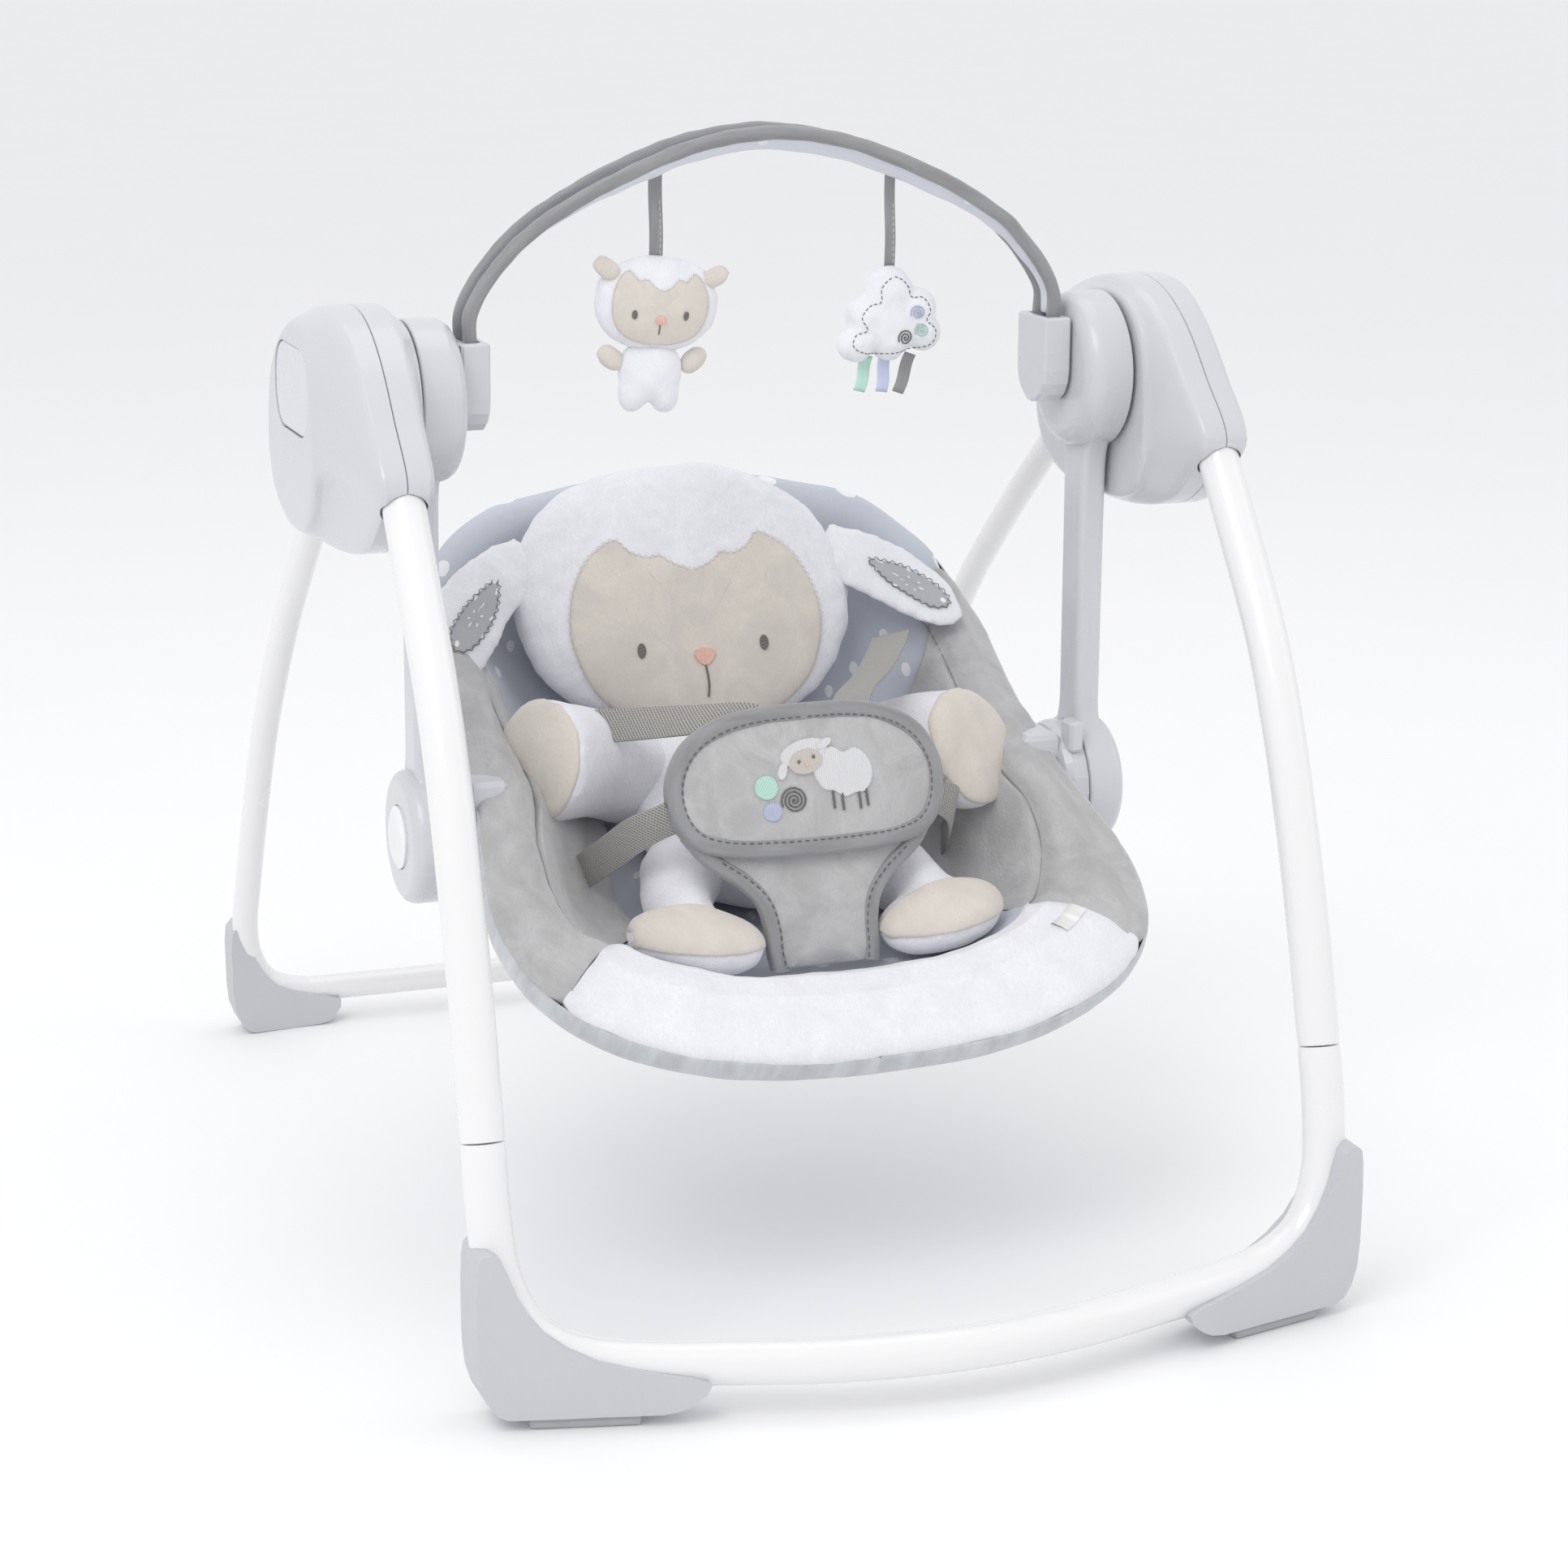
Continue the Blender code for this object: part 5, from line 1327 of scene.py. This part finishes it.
def toy_lamb():
    place = Matrix.Translation(TOY_LAMB) @ Matrix.Rotation(math.radians(4), 4, "Y")

    def at(x, z, y=0.0):
        return place @ Vector((x, y, z))
    mesh = blob((0, 0, 0), (0.04, 0.0145, 0.0295), power=2.2)
    mesh.transform(place)
    mesh = roughened(stuffed(mesh, 0.0028, 4, 0.003), (0.0012, 0.016), (0.0005, 0.005))
    skin = Skin(mesh, place, 0.06)
    head = add("toy_lamb_head", mesh, "hanging_lamb", "white_small", nodes=["toy_lamb"])
    face = rounded(TOY_FACE, 3)
    applique("toy_face", skin, face, (0, -0.003), 0.001, "hanging_lamb", "beige_small")
    edge_stitches("toy_face_stitches", skin, face, "hanging_lamb", "cream_thread", 0.0014, 0.0005, 0.00025,
        0.0011)
    for x, word in ((-0.0175, "left"), (0.015, "right")):
        outline = oval((x, -0.006), 0.0017, 0.0028, 14)
        applique(f"toy_eye_{word}", skin, outline, (x, -0.006), 0.0018, "hanging_lamb", "eye", 0.0008)
    outline = oval((-0.001, -0.009), 0.0036, 0.0026, 16)
    applique("toy_nose", skin, outline, (-0.001, -0.009), 0.0019, "hanging_lamb", "pink", 0.0008)
    mouth = [skin.at(-0.001, -0.0115 - 0.006 * i / 6, 0.0012) for i in range(7)]
    add("toy_mouth", thread("mouth", mouth, 0.00045, 6), "hanging_lamb", "eye")
    for word, x, z, turn in (("left", -0.0345, 0.0205, 0.6), ("right", 0.035, 0.0175, -0.45)):
        tip = blob((0, 0, 0), (0.0105, 0.0042, 0.0068), Matrix.Rotation(turn, 4, "Y"), 2.2, 28, 14)
        tip.transform(Matrix.Translation(at(x, z, -0.006)))
        add(f"toy_ear_{word}", stuffed(tip, 0.0022, 3, 0.001), "hanging_lamb", "beige_small")
    body = joined(blob(at(-0.001, -0.042), (0.0205, 0.011, 0.019), power=2.3),
        blob(at(-0.0115, -0.056), (0.0098, 0.0085, 0.012)), blob(at(0.0095, -0.056), (0.0098, 0.0085, 0.012)))
    mesh = roughened(stuffed(body, 0.0026, 4, 0.0022), (0.0009, 0.012))
    add("toy_lamb_belly", mesh, "hanging_lamb", "white_small")
    for side, word in SIDES:
        arm = blob((0, 0, 0), (0.0105, 0.0055, 0.0072), Matrix.Rotation(-side * 0.7, 4, "Y"), 2.2, 28, 14)
        arm.transform(Matrix.Translation(at(side * 0.0265, -0.0345)))
        add(f"toy_arm_{word}", stuffed(arm, 0.0022, 3, 0.001), "hanging_lamb", "beige_small")
    toy_ribbon("lamb_ribbon", (TOY_LAMB.x, 0, 0.6655), (TOY_LAMB.x, 0, 0.606), "hanging_lamb", "satin",
        0.0088, ["toy_lamb_strap"], "cream_thread")


CLOUD_LOBES = (
    (0.0, 0.016, 0.0175), (-0.017, 0.001, 0.0135), (0.019, 0.005, 0.014), (-0.0225, -0.016, 0.013),
    (0.023, -0.011, 0.013), (0.0, -0.008, 0.02), (0.0, -0.0175, 0.0125)
)
CLOUD_LINE = (
    (0.0, 0.0255), (0.0085, 0.02), (0.011, 0.0125), (0.019, 0.012), (0.0235, 0.004), (0.021, -0.002),
    (0.0275, -0.008), (0.0255, -0.017), (0.012, -0.0205), (-0.002, -0.022), (-0.018, -0.0215),
    (-0.027, -0.017), (-0.025, -0.01), (-0.018, -0.007), (-0.022, 0.001), (-0.016, 0.008), (-0.009, 0.01),
    (-0.0085, 0.019)
)


def toy_cloud():
    place = Matrix.Translation(TOY_CLOUD)
    mesh = joined(*[blob(place @ Vector((x, 0, z)), (r, 0.0105, r)) for x, z, r in CLOUD_LOBES])
    mesh = roughened(stuffed(mesh, 0.0026, 4, 0.0022, 4), (0.0008, 0.012))
    skin = Skin(mesh, place, 0.06)
    add("cloud_plush", mesh, "hanging_cloud", "white_small", nodes=["toy_cloud"])
    inner = rounded(CLOUD_LINE)
    points = [skin.at(x, z, 0.0004) for x, z in inner + inner[:1]]
    add("cloud_stitches", stitches("row", points, 0.0021, 0.0014, 0.0004), "hanging_cloud", "dark_thread")
    spirals = (
        (0.007, -0.0125, 0.0052, "eye"), (0.018, -0.0085, 0.0046, "mint"), (0.015, 0.003, 0.0046, "lavender")
    )
    for number, (x, z, radius, look) in enumerate(spirals):
        add(f"cloud_spiral_{number}", thread("spiral", spiral(skin, (x, z), radius, 2.6, 0.0004), 0.0005, 6),
            "hanging_cloud", look)
    ribbons = (
        (-0.014, -0.006, 0.019, "mint_satin"), (-0.002, -0.003, 0.02, "lavender_satin"),
        (0.015, -0.009, 0.021, "satin")
    )
    for number, (x, way, length, look) in enumerate(ribbons):
        top = TOY_CLOUD + Vector((x, 0, -0.024))
        bottom = TOY_CLOUD + Vector((x + way, -0.002, -0.027 - length))
        toy_ribbon(f"cloud_ribbon_{number}", top, bottom, "hanging_cloud", look, 0.008)
    toy_ribbon("cloud_strap", (TOY_CLOUD.x, 0, 0.6605), (TOY_CLOUD.x, 0, 0.596), "hanging_cloud", "satin",
        0.007, ["toy_cloud_strap"], "cream_thread")


def fabric_looks():
    """The usual slot and the material of each fabric and thread."""
    return {"dots": ("dotted_fabric", dotted("dotted_blue", DOTTED_BLUE)),
        "dots_grey": ("dotted_fabric", dotted("dotted_grey", (0.44, 0.45, 0.47), 0.014, 0.1)),
        "dots_pale": ("dotted_fabric", dotted("dotted_pale", (0.74, 0.76, 0.83), 0.024, 0.12)),
        "under": ("dotted_fabric", dotted("underside_cloth", (0.42, 0.44, 0.48), 0.03, 0.05)),
        "white": ("white_plush", pile("white_velboa", WHITE_FUR, 600, 34, 0.05, 0.0022, 0.5)),
        "white_small": ("white_plush", pile("white_velboa_fine", WHITE_FUR, 1400, 60, 0.05, 0.0006, 0.5)),
        "velour": ("grey_velour", pile("grey_velour", VELOUR, 700, 26, 0.17, 0.0022, 0.5)),
        "beige": ("beige_plush", pile("beige_velour", BEIGE_FUR, 900, 30, 0.08, 0.0012, 0.35)),
        "beige_small": ("beige_plush", pile("beige_velour_fine", BEIGE_FUR, 1500, 60, 0.06, 0.0004, 0.3)),
        "satin": ("grey_binding", satin("grey_satin", BINDING)),
        "pale_satin": ("grey_binding", satin("pale_satin", PALE_BINDING, 90)),
        "mint_satin": ("grey_binding", satin("mint_satin", MINT)),
        "lavender_satin": ("grey_binding", satin("lavender_satin", LAVENDER)),
        "webbing": ("webbing", woven("taupe_webbing", WEBBING)),
        "cream_thread": ("grey_binding", embroidery("cream_thread", (0.8, 0.78, 0.72))),
        "dark_thread": ("grey_binding", embroidery("dark_thread", THREAD_DARK)),
        "white_stitch": ("white_plush", embroidery("white_stitch", (0.84, 0.84, 0.86))),
        "beige_stitch": ("beige_plush", embroidery("beige_stitch", BEIGE_FUR)),
        "mint": ("beige_plush", embroidery("mint_stitch", MINT, 1.2)),
        "lavender": ("beige_plush", embroidery("lavender_stitch", LAVENDER, 0.2)),
        "pink": ("beige_plush", embroidery("pink_stitch", PINK, 0.9)),
        "eye": ("grey_binding", embroidery("eye_stitch", EYE_GREY, 1.5)),
        "tag": ("white_plastic", satin("tag_satin", (0.82, 0.82, 0.8)))}


def soft_parts():
    LOOKS.update(fabric_looks())
    seat_cover()
    lamb_head()
    lamb_body()
    embroidered_lamb(harness())
    toy_bar()
    toy_lamb()
    toy_cloud()


camera()
studio()
hard_parts()
soft_parts()
